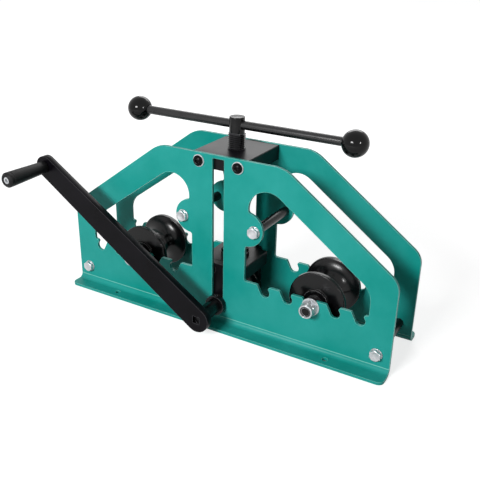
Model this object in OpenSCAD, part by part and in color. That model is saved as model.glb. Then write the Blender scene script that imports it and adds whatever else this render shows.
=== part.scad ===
// Ring roller for bench use: two folded side plates carry two free grooved rollers on axles,
// and a driven grooved roller hangs from a yoke that a hand screw presses down between them.
// X runs along the plates, Y from front to rear and Z up. The origin lies on the bench,
// midway between the plates. All sizes are in millimetres.

/* [Side plates] */
// Length of the side plates and their feet
plate_len = 600; // [560:5:680]
// Height of the top edge above the bench
plate_h = 292.5; // [288:0.5:315]
// Sheet thickness of the plates
plate_t = 5; // [4:0.5:6]
// Clear distance between the two plates
plate_gap = 101.6; // [98:0.2:110]
// Height of the upright ends, where the slopes begin
side_h = 155.6; // [145:0.2:165]
// Half length of the flat top edge, before its corners are rounded
top_half = 112; // [104:1:120]
// Radius of the two top corners
top_corner_r = 50; // [30:1:60]
// Radius of the corners above the upright ends
side_corner_r = 30; // [10:1:40]

/* [Feet] */
// Reach of each foot from the outer face of its plate
foot_w = 28.35; // [24:0.05:36]
// Inside radius of the fold between plate and foot
bend_r = 8; // [5:0.5:9]
// Radius of the corners of each foot
foot_corner_r = 10; // [4:1:14]
// Distance between the bench bolt holes along a foot
foot_hole_dx = 406.4; // [360:0.2:440]
// Distance of the bench bolt holes from the outer face of the plate
foot_hole_out = 14.2; // [13.6:0.1:18]
// Diameter of the bench bolt holes
foot_hole_d = 9; // [7:0.5:11]

/* [Windows] */
// Half width of the upright band between the two windows
band_half = 50; // [47:0.5:52]
// Width of the upright band outside each window
end_band = 39.5; // [34:0.5:44]
// Width of the sloping band above each window
slope_band = 42; // [36:0.5:46]
// Height of the notched shelf
shelf_z = 91.5; // [89:0.5:96]
// Radius of the upper outer corner of a window
window_r = 35; // [20:1:40]
// Radius of the lower corners of a window
window_low_r = 3; // [1:0.5:5]
// Distance of the round inner lobe of a window from the middle
lobe_x = 88; // [84:0.5:92]
// Radius of the round inner lobe
lobe_r = 33.5; // [30:0.5:34]
// Distance of the round ear from the middle
ear_x = 52; // [50:0.5:54]
// Height of the centre of the ear
ear_z = 182; // [178:0.5:186]
// Radius of the ear
ear_r = 28.5; // [26:0.5:30]
// Radius of the fillet above the ear
ear_top_r = 5; // [3:0.5:6]
// Radius of the fillet below the ear
ear_low_r = 4; // [2:0.5:6]

/* [Notches] */
// Distance of the first notch from the middle
notch_first = 88; // [86:0.5:90]
// Distance between notches
notch_pitch = 40; // [38:0.5:41]
// Number of notches in each window
notch_count = 5; // [3:1:5]
// Height of the bottom of the notches' round pockets, at their centres
notch_z = 80.5; // [79:0.25:82]
// Gap between the outer axles and the notches' round pockets
notch_gap = 1.25; // [0.25:0.25:1.5]
// Lean of the notches towards the middle, in degrees
notch_lean = 26.8; // [20:0.2:30]
// Radius of the tips of the teeth between notches
tooth_r = 3; // [1:0.25:3.5]
// Notch that holds the outer axles, counted from the middle
axle_notch = 3; // [2:1:4]

/* [Centre slot] */
// Gap on each side of the drive shaft in the centre slot
slot_gap = 0.5; // [0.4:0.1:1]
// Distance from the plates' top edge to the top of the centre slot
slot_drop = 5.5; // [5:0.5:12]

/* [Cross block] */
// Length of the cross block along the plates
block_len = 100; // [92:1:108]
// Height of the cross block
block_h = 24.5; // [22:0.5:28]
// Drop of the block's top below the plates' top edge
block_drop = 1; // [0:0.5:3]
// Distance of the block screws from the middle
block_screw_x = 35.2; // [32:0.2:38]
// Depth of the block screws in the block
block_screw_depth = 24; // [16:1:30]

/* [Spacers] */
// Outside diameter of the spacer tubes
spacer_d = 15; // [14:0.5:18]
// Distance of the lower spacers from the plates' ends
low_spacer_in = 22; // [18:0.5:26]
// Height of the lower spacers
low_spacer_z = 33; // [30:0.5:36]
// Distance of the upper spacers from the middle
ear_spacer_x = 66; // [64:0.5:67]
// Height of the upper spacers
ear_spacer_z = 181; // [178:0.5:184]

/* [Fasteners] */
// Nominal diameter of the spacer bolts and block screws
bolt_d = 10; // [8:1:10]
// Size across the flats of the spacer bolts' heads and nuts
bolt_af = 17; // [15:0.5:18]
// Outside diameter of the spacer bolts' washers
washer_d = 20; // [18:0.5:21]
// Thickness of all flat washers
washer_t = 2; // [1:0.25:2.5]
// Size across the flats of the axle nuts
axle_nut_af = 22; // [20:0.5:24]
// Outside diameter of the axle washers
axle_washer_d = 29; // [27:0.5:30]

/* [Outer rollers] */
// Diameter of the outer axles
axle_d = 14; // [12:0.5:15]
// Outside diameter of the outer rollers
roller_d = 94; // [88:1:98]
// Width of all three rollers over their rims
roller_w = 72; // [66:1:74]
// Radius of the tube groove in all three rollers
groove_r = 28; // [24:0.5:30]
// Radius from the axle to the bottom of the groove, outer rollers
outer_core_r = 22; // [18:0.5:24]
// Radius of the rollers' rim edges
rim_r = 2; // [1:0.25:3]
// Radius of the hub boss of an outer roller
boss_r = 20; // [17:0.5:22]
// Height of the hub boss over the roller's face
boss_h = 4; // [2:0.5:6]
// Outside diameter of the rollers' bushes
bush_d = 20; // [18:0.5:22]
// Length of each roller bush
bush_len = 26; // [18:1:32]
// Outside diameter of the sleeves beside the outer rollers
sleeve_d = 26; // [20:0.5:27]

/* [Press yoke] */
// Height of the drive shaft with the screw fully down
shaft_z = 36; // [36:0.5:38]
// Length of the press block along the plates
press_len = 84; // [76:1:92]
// Height of the press block
press_h = 25; // [22:0.5:27]
// Height of the press block's top with the screw fully down
press_top = 106; // [103:0.5:108]
// Thickness of the yoke's legs
leg_t = 12; // [11:0.5:12.5]
// Width of the yoke's legs
leg_w = 50; // [40:1:56]
// Gap between the yoke's legs and the side plates
leg_gap = 0.8; // [0.6:0.1:1.2]
// Size of the chamfers on the cross block, press block and legs
edge_c = 1; // [0.5:0.25:1.5]
// Distance of the leg screws from the middle
leg_screw_x = 14; // [12:0.5:16]
// Diameter of the leg screws
leg_screw_d = 8; // [6:1:8]
// Outside diameter of the drive shaft's bushes in the legs
leg_bush_d = 26; // [24:0.5:28]

/* [Press screw] */
// Diameter of the screw over its thread
screw_d = 28.6; // [27:0.2:29]
// Height of the top of the screw head with the screw fully down
screw_top = 342; // [336:0.5:346]
// Diameter of the screw head
head_d = 24.8; // [23:0.2:26]
// Height of the screw head
head_h = 26; // [24:0.5:28]
// Chamfer at the top of the screw head
head_c = 1.5; // [0.5:0.25:2]
// Diameter of the screw's neck in the keeper plates
neck_d = 14; // [12:0.5:16]
// Diameter of the screw's foot in the press block
screw_foot_d = 22; // [20:0.5:23]
// Height of the screw's foot
screw_foot_h = 9.7; // [8:0.1:10.5]
// Thickness of the keeper plates
keeper_t = 6; // [5:0.5:8]
// Diameter of the pair of half-round keeper plates
keeper_d = 48; // [47:0.5:52]

/* [Turning bar] */
// Diameter of the turning bar
bar_d = 14; // [12:0.5:15]
// Distance between the middles of the two balls
ball_span = 386; // [340:2:420]
// Distance that the bar is slid along itself from its middle as it is shown
bar_shift = 3; // [-20:1:20]
// Diameter of the balls
ball_d = 41; // [36:0.5:44]
// Depth of the bar's end past the surface of each ball
bar_seat = 15; // [10:0.5:18]

/* [Drive] */
// Diameter of the drive shaft
shaft_d = 20; // [18:0.5:20.5]
// Diameter of the centre roller
centre_roller_d = 68; // [62:1:70]
// Radius from the shaft to the bottom of the groove, centre roller
centre_core_r = 15; // [14:0.5:17]
// Width and height of the key
key_w = 6; // [4:0.5:6]
// Length of the key
key_len = 40; // [24:1:56]
// Diameter of the shaft collars
collar_d = 34; // [30:0.5:36]
// Length of the shaft collars
collar_len = 10; // [8:0.5:11]
// Diameter of the shaft between the front collar and the crank
hub_d = 25; // [22:0.5:26]
// Side of the square end that drives the crank
square_w = 12.7; // [10:0.1:14]

/* [Crank] */
// Distance from the shaft to the handle
crank_len = 364; // [320:2:380]
// Angle of the crank above the horizontal as it is shown, in degrees
crank_angle = 33.8; // [20:0.2:60]
// Distance of the crank's front face from the middle
crank_y = 121; // [112:0.5:130]
// Thickness of the crank arm
crank_t = 12; // [10:0.5:14]
// Radius of the crank's end at the shaft
crank_r1 = 21.5; // [19:0.5:24]
// Radius of the crank's end at the handle
crank_r2 = 18; // [15:0.5:20]
// Diameter of the grip next to the crank
grip_d = 20; // [18:0.5:21]
// Diameter of the grip at its outer end
grip_end_d = 25; // [22:0.5:27]
// Length of the grip
grip_len = 84; // [70:1:100]
// Chamfer at the outer end of the grip
grip_c = 3; // [1:0.5:3]
// Distance of the grip's ring groove from its outer end
grip_ring = 9; // [7:0.5:14]
// Diameter of the bolt that carries the grip
handle_bolt_d = 8; // [6:0.5:8]
// Diameter of that bolt's head
handle_head_d = 12; // [11:0.5:13]
// Height of that bolt's head
handle_head_h = 5; // [4:0.5:7]

/* [Hidden] */
$fn = 64;

// Clearances between pieces
fit_gap = 0.05;
slide_gap = 0.1;
seat_gap = 0.3;
hole_gap = 0.5;
// Overshoot that keeps cuts clear of the faces they open
over = 1;
// Extra radius that makes a rounding cross its flanks just before it would touch them
ease = 0.02;

// Plate faces and main heights
inner_y = plate_gap / 2;
outer_y = inner_y + plate_t;
half_len = plate_len / 2;
fold_z = plate_t + bend_r;
fold_y = outer_y + bend_r;
foot_y = outer_y + foot_w;
block_top = plate_h - block_drop;
block_screw_z = block_top - block_h / 2;
axle_x = notch_first + (axle_notch - 1) * notch_pitch;
notch_r = axle_d / 2 + notch_gap;
flank_r = notch_r - 0.05;
axle_z = notch_z;
slot_z = shaft_z + slot_gap - seat_gap;
slot_r = shaft_d / 2 + slot_gap;

// Slope of the plate's outline and of the band above the windows
slope_dir = unit([half_len - top_half, side_h - plate_h]);
slope_in = [slope_dir[1], -slope_dir[0]];
band_point = [top_half, plate_h] + slope_band * slope_in;
lobe_row = band_point + lobe_r * slope_in;
lobe_z = lobe_row[1] + (lobe_x - lobe_row[0]) * slope_dir[1] / slope_dir[0];
lobe = [lobe_x, lobe_z];
window_out = half_len - end_band;
window_high = band_point[1] + (window_out - band_point[0]) * slope_dir[1] / slope_dir[0];
lobe_left = lobe_x - lobe_r;
slot_top = plate_h - slot_drop;
low_spacer_x = half_len - low_spacer_in;

// Fasteners
spacer_bore = bolt_d / 2 + slide_gap;
bolt_head_h = 0.64 * bolt_d;
nut_h = 0.9 * bolt_d;
button_head_d = 1.7 * bolt_d;
button_head_h = 0.55 * bolt_d;
stud_over = 3;
axle_nut_h = 0.55 * axle_nut_af;
axle_collar_h = 0.3 * axle_nut_af;
axle_collar_d = axle_nut_af + 0.5;
insert_d = axle_collar_d - 4.5;
insert_h = 5;
insert_drop = 1.2;
axle_end = outer_y + washer_t + axle_nut_h + axle_collar_h - 0.7;

// Rollers
roller_half = roller_w / 2;
boss_face = roller_half + boss_h;
centre_boss_h = 1.7;

// Yoke and press screw
leg_out = inner_y - leg_gap;
leg_in = leg_out - leg_t;
leg_round = leg_w / 2;
leg_screw_z = press_top - press_h / 2;
leg_head_d = 1.625 * leg_screw_d;
leg_screw_depth = 16;
head_z = screw_top - head_h;
bar_z = screw_top - head_h / 2 + 0.5;
foot_gap = 0.15;
screw_foot_z = press_top - screw_foot_h - foot_gap;
pocket_z = screw_foot_z - slide_gap;
keeper_screw_d = 5;
keeper_screw_r = (keeper_d + screw_d) / 4;
keeper_screw_turn = 35;

// Drive and crank
collar_in = outer_y + 2 * seat_gap;
collar_out = collar_in + collar_len;
shaft_rear = collar_out + 2;
crank_back = crank_y - crank_t;
square_recess = 6;
square_end = crank_y - square_recess;
set_screw_d = 6;
crank_dir = [-cos(crank_angle), sin(crank_angle)];
crank_side = [-crank_dir[1], crank_dir[0]];
handle_at = [0, shaft_z] + crank_len * crank_dir;
grip_in = crank_y + 2 * seat_gap;
grip_out = grip_in + grip_len;
head_seat = grip_out - handle_head_h - 1;
handle_nut_af = 1.625 * handle_bolt_d;
handle_nut_h = 0.8 * handle_bolt_d;

// Direction of a vector, with length one
function unit(v) = v / norm(v);

// A leaning notch's flank where it meets the shelf; side is 1 outside and -1 inside
function flank_top(x, side) =
    let (
        start = [x, notch_z] + side * flank_r * [cos(notch_lean), sin(notch_lean)],
        run = (shelf_z - start[1]) / cos(notch_lean)
    )
    [start[0] - run * sin(notch_lean), shelf_z];

// Scrap that rounds corner v, between the directions a and b, when it is cut away
module corner_scrap(v, a, b, r) {
    half = acos(a * b) / 2;
    middle = unit(a + b);
    centre = v + middle * r / sin(half);
    reach = r / tan(half);
    difference() {
        polygon([v + a * reach, centre, v + b * reach, v - middle * over]);
        translate(centre) circle(r = r + ease);
    }
}

// Filling between an upright edge at x and the ear, up (1) or down (-1) from the ear
module ear_fillet(x, r, side) {
    rise = sqrt((ear_r + r) ^ 2 - (x + r - ear_x) ^ 2);
    centre = [x + r, ear_z + side * rise];
    difference() {
        polygon([[x - over, centre[1]], centre, [ear_x, ear_z]]);
        translate(centre) circle(r = r + ease);
    }
}

// Turns a drawing in X and Z into a slab that runs from y = -from towards the front
module slab(from, thick) {
    translate([0, -from, 0])
        rotate([90, 0, 0])
            linear_extrude(thick) children();
}

// Turns a solid that stands on the XY plane so that it points to the front from y = -from
module to_front(from) {
    translate([0, -from, 0]) rotate([90, 0, 0]) children();
}

// Block with all its edges chamfered, centred in X and Y and standing on z = 0
module chamfered_block(x, y, z, c) {
    intersection() {
        linear_extrude(z) chamfered_rect(x, y, c);
        translate([0, y / 2, z / 2]) rotate([90, 0, 0]) linear_extrude(y) chamfered_rect(x, z, c);
        translate([-x / 2, 0, z / 2]) rotate([90, 0, 90]) linear_extrude(x) chamfered_rect(y, z, c);
    }
}

module chamfered_rect(x, y, c) {
    a = x / 2;
    b = y / 2;
    polygon([
        [-a + c, -b], [a - c, -b], [a, -b + c], [a, b - c],
        [a - c, b], [-a + c, b], [-a, b - c], [-a, -b + c]
    ]);
}

// Tube or disc with a hole, standing on z = 0
module ring(d, bore, h) {
    difference() {
        cylinder(d = d, h = h);
        translate([0, 0, -over]) cylinder(d = bore, h = h + 2 * over);
    }
}

// Hexagonal prism with chamfered corners on its far side, standing on z = 0
module hex_prism(af, h) {
    intersection() {
        cylinder(d = af / cos(30), h = h, $fn = 6);
        union() {
            cylinder(d = af / cos(30), h = h - af / 12);
            translate([0, 0, h - af / 12])
                cylinder(d1 = af / cos(30), d2 = af * 0.96, h = af / 12);
        }
    }
}

// Cap screw with a hexagonal socket; the shank goes down from z = 0 and the head up
module cap_screw(d, shank, head_d, head_h) {
    difference() {
        union() {
            translate([0, 0, -shank]) cylinder(d = d, h = shank);
            cylinder(d = head_d, h = head_h - d / 12);
            translate([0, 0, head_h - d / 12])
                cylinder(d1 = head_d, d2 = head_d - d / 6, h = d / 12);
        }
        translate([0, 0, head_h / 2]) cylinder(d = 0.8 * d / cos(30), h = head_h, $fn = 6);
    }
}

// Screw with a low domed head and a hexagon socket; the head's seat is at z = 0
module button_screw(d, shank, head_d, head_h) {
    dome_h = 0.7 * head_h;
    dome_r = (pow(head_d / 2, 2) + pow(dome_h, 2)) / (2 * dome_h);
    translate([0, 0, -shank]) cylinder(d = d, h = shank + over);
    difference() {
        rotate_extrude($fn = 96) intersection() {
            square([head_d / 2, head_h]);
            translate([0, head_h - dome_r]) circle(r = dome_r);
        }
        translate([0, 0, 0.4 * head_h]) cylinder(d = 0.6 * d / cos(30), h = head_h, $fn = 6);
    }
}

// Outline of a side plate above its fold
module plate_outline() {
    difference() {
        polygon([
            [-half_len, fold_z], [half_len, fold_z], [half_len, side_h],
            [top_half, plate_h], [-top_half, plate_h], [-half_len, side_h]
        ]);
        for (side = [0, 1]) mirror([side, 0]) {
            corner_scrap([half_len, side_h], [0, -1], -slope_dir, side_corner_r);
            corner_scrap([top_half, plate_h], [-1, 0], slope_dir, top_corner_r);
        }
    }
}

// Right-hand window with its lobe, ear and notches
module window() {
    difference() {
        union() {
            polygon([
                [band_half, shelf_z], [window_out, shelf_z], [window_out, window_high],
                lobe - lobe_r * slope_in, lobe, [lobe_left, lobe_z],
                [lobe_left, ear_z], [band_half, ear_z]
            ]);
            translate(lobe) circle(r = lobe_r);
        }
        translate([ear_x, ear_z]) circle(r = ear_r);
        ear_fillet(lobe_left, ear_top_r, 1);
        ear_fillet(band_half, ear_low_r, -1);
        corner_scrap([window_out, window_high], [0, -1], -slope_dir, window_r);
        corner_scrap([window_out, shelf_z], [-1, 0], [0, 1], window_low_r);
        corner_scrap([band_half, shelf_z], [1, 0], [0, 1], window_low_r);
    }
    for (i = [0:notch_count - 1]) notch(notch_first + i * notch_pitch);
}

// Leaning notch with a slightly wider round pocket at x, and rounded tooth tips
module notch(x) {
    depth = (shelf_z - notch_z) / cos(notch_lean) + notch_r * tan(notch_lean) + over;
    translate([x, notch_z]) {
        circle(r = notch_r);
        rotate(notch_lean) translate([-flank_r, 0]) square([2 * flank_r, depth]);
    }
    down = [sin(notch_lean), -cos(notch_lean)];
    corner_scrap(flank_top(x, 1), [1, 0], down, tooth_r);
    corner_scrap(flank_top(x, -1), [-1, 0], down, tooth_r);
}

// Openings of a side plate
module plate_cuts() {
    for (side = [0, 1]) mirror([side, 0]) {
        window();
        translate([low_spacer_x, low_spacer_z]) circle(d = bolt_d + 2 * hole_gap);
        translate([ear_spacer_x, ear_spacer_z]) circle(d = bolt_d + 2 * hole_gap);
        translate([block_screw_x, block_screw_z]) circle(d = bolt_d + 2 * hole_gap);
    }
    translate([0, slot_z]) circle(r = slot_r);
    translate([-slot_r, slot_z]) square([2 * slot_r, slot_top - slot_z]);
}

// Plan of the front foot with its corner radii and bench bolt holes
module foot_plan() {
    difference() {
        translate([-half_len, -foot_y]) square([plate_len, foot_y - fold_y]);
        for (side = [0, 1]) mirror([side, 0]) {
            corner_scrap([half_len, -foot_y], [-1, 0], [0, 1], foot_corner_r);
            translate([foot_hole_dx / 2, -outer_y - foot_hole_out]) circle(d = foot_hole_d);
        }
    }
}

// Section of the fold between a side plate and its foot
module fold_section() {
    intersection() {
        difference() {
            circle(r = plate_t + bend_r);
            circle(r = bend_r);
        }
        translate([0, -fold_z]) square(fold_z);
    }
}

module side_plate() {
    slab(inner_y, plate_t) difference() {
        plate_outline();
        plate_cuts();
    }
    translate([-half_len, -fold_y, fold_z])
        rotate([90, 0, 90]) linear_extrude(plate_len) fold_section();
    linear_extrude(plate_t) foot_plan();
}

module front_plate() {
    color("#2AA198") side_plate();
}

module rear_plate() {
    color("#2AA198") mirror([0, 1, 0]) side_plate();
}

// Block that ties the plates together at the top and holds the thread of the press screw
module cross_block() {
    color("#1D1D20") difference() {
        translate([0, 0, block_top - block_h])
            chamfered_block(block_len, plate_gap, block_h, edge_c);
        translate([0, 0, block_top - block_h - over])
            cylinder(d = screw_d + 2 * slide_gap, h = block_h + 2 * over);
        for (x = [-1, 1] * block_screw_x, turn = [0, 180])
            rotate(turn)
                translate([x, 0, block_screw_z])
                    to_front(inner_y - block_screw_depth - 2)
                        cylinder(d = bolt_d + 2 * fit_gap, h = block_screw_depth + 2 + over);
    }
}

// Four cap screws that hold the cross block, two on each plate
module block_screws() {
    color("#2B2B2E")
        for (x = [-1, 1] * block_screw_x, turn = [0, 180])
            rotate(turn)
                translate([x, 0, block_screw_z])
                    to_front(outer_y + washer_t)
                        button_screw(bolt_d, block_screw_depth + plate_t + washer_t,
                            button_head_d, button_head_h);
}

module block_washers() {
    color("#D8DADC")
        for (x = [-1, 1] * block_screw_x, turn = [0, 180])
            rotate(turn)
                translate([x, 0, block_screw_z])
                    to_front(outer_y) ring(washer_d, bolt_d + 2 * slide_gap, washer_t);
}

// Spacer tube between the plates, at x and z
module spacer(x, z) {
    color("#1D1D20") translate([x, 0, z])
        to_front(-inner_y) ring(spacer_d, 2 * spacer_bore, plate_gap);
}

module lower_spacer_left() {
    spacer(-low_spacer_x, low_spacer_z);
}

module lower_spacer_right() {
    spacer(low_spacer_x, low_spacer_z);
}

module upper_spacer_left() {
    spacer(-ear_spacer_x, ear_spacer_z);
}

module upper_spacer_right() {
    spacer(ear_spacer_x, ear_spacer_z);
}

// Places its children on the axis of each of the four spacers
module at_spacers() {
    for (side = [-1, 1]) {
        translate([side * low_spacer_x, 0, low_spacer_z]) children();
        translate([side * ear_spacer_x, 0, ear_spacer_z]) children();
    }
}

// Hexagon bolts from the front through plates and spacers
module spacer_bolts() {
    color("#D8DADC") at_spacers() {
        to_front(outer_y + washer_t) hex_prism(bolt_af, bolt_head_h);
        to_front(-outer_y - washer_t - nut_h - stud_over)
            cylinder(d = bolt_d, h = 2 * (outer_y + washer_t) + nut_h + stud_over);
    }
}

module spacer_washers() {
    color("#D8DADC") at_spacers() {
        for (turn = [0, 180])
            rotate(turn) to_front(outer_y) ring(washer_d, bolt_d + 2 * slide_gap, washer_t);
    }
}

// Nuts on the rear ends of the spacer bolts
module spacer_nuts() {
    color("#D8DADC") at_spacers()
        rotate(180) to_front(outer_y + washer_t)
            difference() {
                hex_prism(bolt_af, nut_h);
                translate([0, 0, -over]) cylinder(d = bolt_d + 2 * fit_gap, h = nut_h + 2 * over);
            }
}

// Axle of an outer roller, chamfered at both ends
module axle(x) {
    c = 1.5;
    color("#1D1D20") translate([x, 0, axle_z]) to_front(-axle_end + c) {
        cylinder(d = axle_d, h = 2 * axle_end - 2 * c);
        translate([0, 0, -c]) cylinder(d1 = axle_d - 2 * c, d2 = axle_d, h = c);
        translate([0, 0, 2 * axle_end - 2 * c]) cylinder(d1 = axle_d, d2 = axle_d - 2 * c, h = c);
    }
}

module left_axle() {
    axle(-axle_x);
}

module right_axle() {
    axle(axle_x);
}

// Sleeves that keep an outer roller midway between the plates
module sleeves(x) {
    color("#232326") translate([x, 0, axle_z])
        for (turn = [0, 180])
            rotate(turn) to_front(boss_face + seat_gap)
                ring(sleeve_d, axle_d + 2 * fit_gap, inner_y - boss_face - seat_gap);
}

module left_sleeves() {
    sleeves(-axle_x);
}

module right_sleeves() {
    sleeves(axle_x);
}

// Places its children on both ends of both outer axles, pointing outwards
module at_axle_ends(from) {
    for (x = [-1, 1] * axle_x, turn = [0, 180])
        translate([x, 0, axle_z]) rotate(turn) to_front(from) children();
}

module axle_washers() {
    color("#D8DADC") at_axle_ends(outer_y) ring(axle_washer_d, axle_d + 2 * slide_gap, washer_t);
}

// Lock nuts with a round collar over the hexagon
module axle_nuts() {
    color("#D8DADC") at_axle_ends(outer_y + washer_t)
        difference() {
            union() {
                hex_prism(axle_nut_af, axle_nut_h);
                translate([0, 0, axle_nut_h - over])
                    cylinder(d = axle_collar_d, h = axle_collar_h - 1 + over);
                translate([0, 0, axle_nut_h + axle_collar_h - 1])
                    cylinder(d1 = axle_collar_d, d2 = axle_collar_d - 2, h = 1);
            }
            translate([0, 0, -over])
                cylinder(d = axle_d + 2 * fit_gap, h = axle_nut_h + axle_collar_h + 2 * over);
            translate([0, 0, axle_nut_h + axle_collar_h - insert_drop - insert_h])
                cylinder(d = insert_d + 2 * fit_gap, h = insert_h + insert_drop + over);
        }
}

// Locking rings let into the collars of the axle nuts
module nut_inserts() {
    color("#151517") at_axle_ends(outer_y + washer_t)
        translate([0, 0, axle_nut_h + axle_collar_h - insert_drop - insert_h])
            ring(insert_d, axle_d + 2 * fit_gap, insert_h);
}

// Half section of a grooved roller about its own axis
module roller_section(d, core_r, bore_r, hub_r, hub_h) {
    difference() {
        union() {
            translate([bore_r, -roller_half]) square([d / 2 - bore_r, roller_w]);
            translate([bore_r, -roller_half - hub_h])
                square([hub_r - bore_r, roller_w + 2 * hub_h]);
        }
        translate([core_r + groove_r, 0]) circle(r = groove_r);
        for (side = [0, 1]) mirror([0, side])
            corner_scrap([d / 2, roller_half], [-1, 0], [0, -1], rim_r);
    }
}

// Free grooved roller
module outer_roller(x) {
    color("#151517") translate([x, 0, axle_z]) rotate([90, 0, 0])
        rotate_extrude($fn = 96)
            roller_section(roller_d, outer_core_r, bush_d / 2 + fit_gap, boss_r, boss_h);
}

module left_roller() {
    outer_roller(-axle_x);
}

module right_roller() {
    outer_roller(axle_x);
}

// Plain bushes pressed into both ends of an outer roller
module bushes(x) {
    color("#B08D57") translate([x, 0, axle_z])
        for (turn = [0, 180])
            rotate(turn) to_front(boss_face - bush_len)
                ring(bush_d, axle_d + 2 * fit_gap, bush_len);
}

module left_bushes() {
    bushes(-axle_x);
}

module right_bushes() {
    bushes(axle_x);
}

// Places its children at the four leg screws, pointing outwards from the legs
module at_leg_screws(from) {
    for (x = [-1, 1] * leg_screw_x, turn = [0, 180])
        translate([x, 0, leg_screw_z]) rotate(turn) to_front(from) children();
}

// Places its children at the four keeper screws
module at_keeper_screws() {
    for (turn = [-1, 1] * keeper_screw_turn, half = [0, 180])
        rotate(half + turn) translate([keeper_screw_r, 0, press_top + keeper_t]) children();
}

// Block under the press screw, with a pocket for the foot of the screw
module press_block() {
    color("#1D1D20") difference() {
        translate([0, 0, press_top - press_h])
            chamfered_block(press_len, 2 * leg_in, press_h, edge_c);
        translate([0, 0, pocket_z]) cylinder(d = screw_foot_d + 2 * seat_gap, h = press_h);
        at_leg_screws(leg_in - leg_screw_depth - 2)
            cylinder(d = leg_screw_d + 2 * fit_gap, h = leg_screw_depth + 2 + over);
        at_keeper_screws()
            translate([0, 0, -keeper_t - 11])
                cylinder(d = keeper_screw_d + 2 * fit_gap, h = keeper_t + 11 + over);
    }
}

// Leg of the yoke, round at its lower end where the drive shaft runs
module front_leg() {
    leg_high = press_top;
    color("#1A1A1C") difference() {
        slab(leg_in, leg_t) difference() {
            union() {
                translate([0, shaft_z]) circle(r = leg_round);
                translate([-leg_w / 2, shaft_z]) square([leg_w, leg_high - shaft_z]);
            }
            circle_at([0, shaft_z], leg_bush_d / 2 + fit_gap);
            for (side = [0, 1]) mirror([side, 0])
                corner_scrap([leg_w / 2, leg_high], [-1, 0], [0, -1], 4 * edge_c);
        }
        at_leg_screws(leg_in - over)
            cylinder(d = leg_screw_d + 2 * slide_gap, h = leg_t + 2 * over);
        at_leg_screws(leg_out - leg_screw_d - seat_gap)
            cylinder(d = leg_head_d + 2 * seat_gap, h = leg_screw_d + 2 * over);
    }
}

module circle_at(centre, r) {
    translate(centre) circle(r = r);
}

module rear_leg() {
    mirror([0, 1, 0]) front_leg();
}

// Cap screws sunk in the legs
module leg_screws() {
    color("#2B2B2E") at_leg_screws(leg_out - leg_screw_d - seat_gap)
        cap_screw(leg_screw_d, leg_screw_depth + leg_t - leg_screw_d, leg_head_d, leg_screw_d);
}

// Plain bush of the drive shaft in the front leg
module front_bush() {
    color("#B08D57") translate([0, 0, shaft_z])
        to_front(leg_in) ring(leg_bush_d, shaft_d + 2 * fit_gap, leg_t);
}

module rear_bush() {
    mirror([0, 1, 0]) front_bush();
}

// Pair of half plates that hold the screw's foot in the press block
module keeper_plates() {
    color("#3A3A3D") difference() {
        translate([0, 0, press_top]) cylinder(d = keeper_d, h = keeper_t);
        translate([-fit_gap, -keeper_d, press_top - over])
            cube([2 * fit_gap, 2 * keeper_d, keeper_t + 2 * over]);
        translate([0, 0, press_top - over])
            cylinder(d = neck_d + 2 * seat_gap, h = keeper_t + 2 * over);
        at_keeper_screws()
            translate([0, 0, -keeper_t - over])
                cylinder(d = keeper_screw_d + 2 * slide_gap, h = keeper_t + 2 * over);
    }
}

module keeper_screws() {
    color("#2B2B2E") at_keeper_screws()
        cap_screw(keeper_screw_d, keeper_t + 10, 1.7 * keeper_screw_d, 0.8 * keeper_screw_d);
}

// Press screw: foot, neck, threaded length and cross-drilled head
module press_screw() {
    neck_z = press_top - foot_gap;
    thread_z = press_top + keeper_t + seat_gap;
    color("#1D1D20") difference() {
        union() {
            translate([0, 0, screw_foot_z]) cylinder(d = screw_foot_d, h = screw_foot_h);
            translate([0, 0, neck_z]) cylinder(d = neck_d, h = thread_z - neck_z);
            translate([0, 0, thread_z]) cylinder(d = screw_d, h = head_z - thread_z);
            translate([0, 0, head_z]) cylinder(d = head_d, h = head_h - head_c);
            translate([0, 0, screw_top - head_c])
                cylinder(d1 = head_d, d2 = head_d - 2 * head_c, h = head_c);
        }
        translate([-head_d, 0, bar_z]) rotate([0, 90, 0])
            cylinder(d = bar_d + 2 * slide_gap, h = 2 * head_d);
    }
}

// Bar that turns the press screw and slides in its head
module turning_bar() {
    reach = ball_span / 2 - ball_d / 2 + bar_seat;
    color("#1D1D20") translate([bar_shift - reach, 0, bar_z]) rotate([0, 90, 0])
        cylinder(d = bar_d, h = 2 * reach);
}

// Half section of a ball about the bar's axis, with the seat for the bar's end
module ball_section() {
    difference() {
        intersection() {
            circle(d = ball_d, $fn = 96);
            translate([0, -ball_d]) square([ball_d, 2 * ball_d]);
        }
        translate([-over, ball_d / 2 - bar_seat])
            square([over + bar_d / 2 + fit_gap, ball_d]);
    }
}

// Ball on an end of the turning bar
module ball(side) {
    color("#161618") translate([bar_shift + side * ball_span / 2, 0, bar_z])
        rotate([0, -90 * side, 0]) rotate_extrude($fn = 96) ball_section();
}

module left_ball() {
    ball(-1);
}

module right_ball() {
    ball(1);
}

// Room for the key, in the shaft and the roller, with a gap all round
module key_room(gap) {
    translate([-key_w / 2 - gap, -key_len / 2 - gap, shaft_z + shaft_d / 2 - key_w / 2 - gap])
        cube([key_w + 2 * gap, key_len + 2 * gap, key_w + 2 * gap]);
}

// Drive shaft, with a thicker front end and the square that takes the crank
module drive_shaft() {
    color("#1D1D20") difference() {
        translate([0, 0, shaft_z]) {
            to_front(-shaft_rear) cylinder(d = shaft_d, h = shaft_rear + collar_out);
            to_front(collar_out) cylinder(d = hub_d, h = crank_back - collar_out - fit_gap);
            translate([-square_w / 2, -square_end, -square_w / 2])
                cube([square_w, square_end - crank_back + over, square_w]);
        }
        key_room(fit_gap);
    }
}

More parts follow.
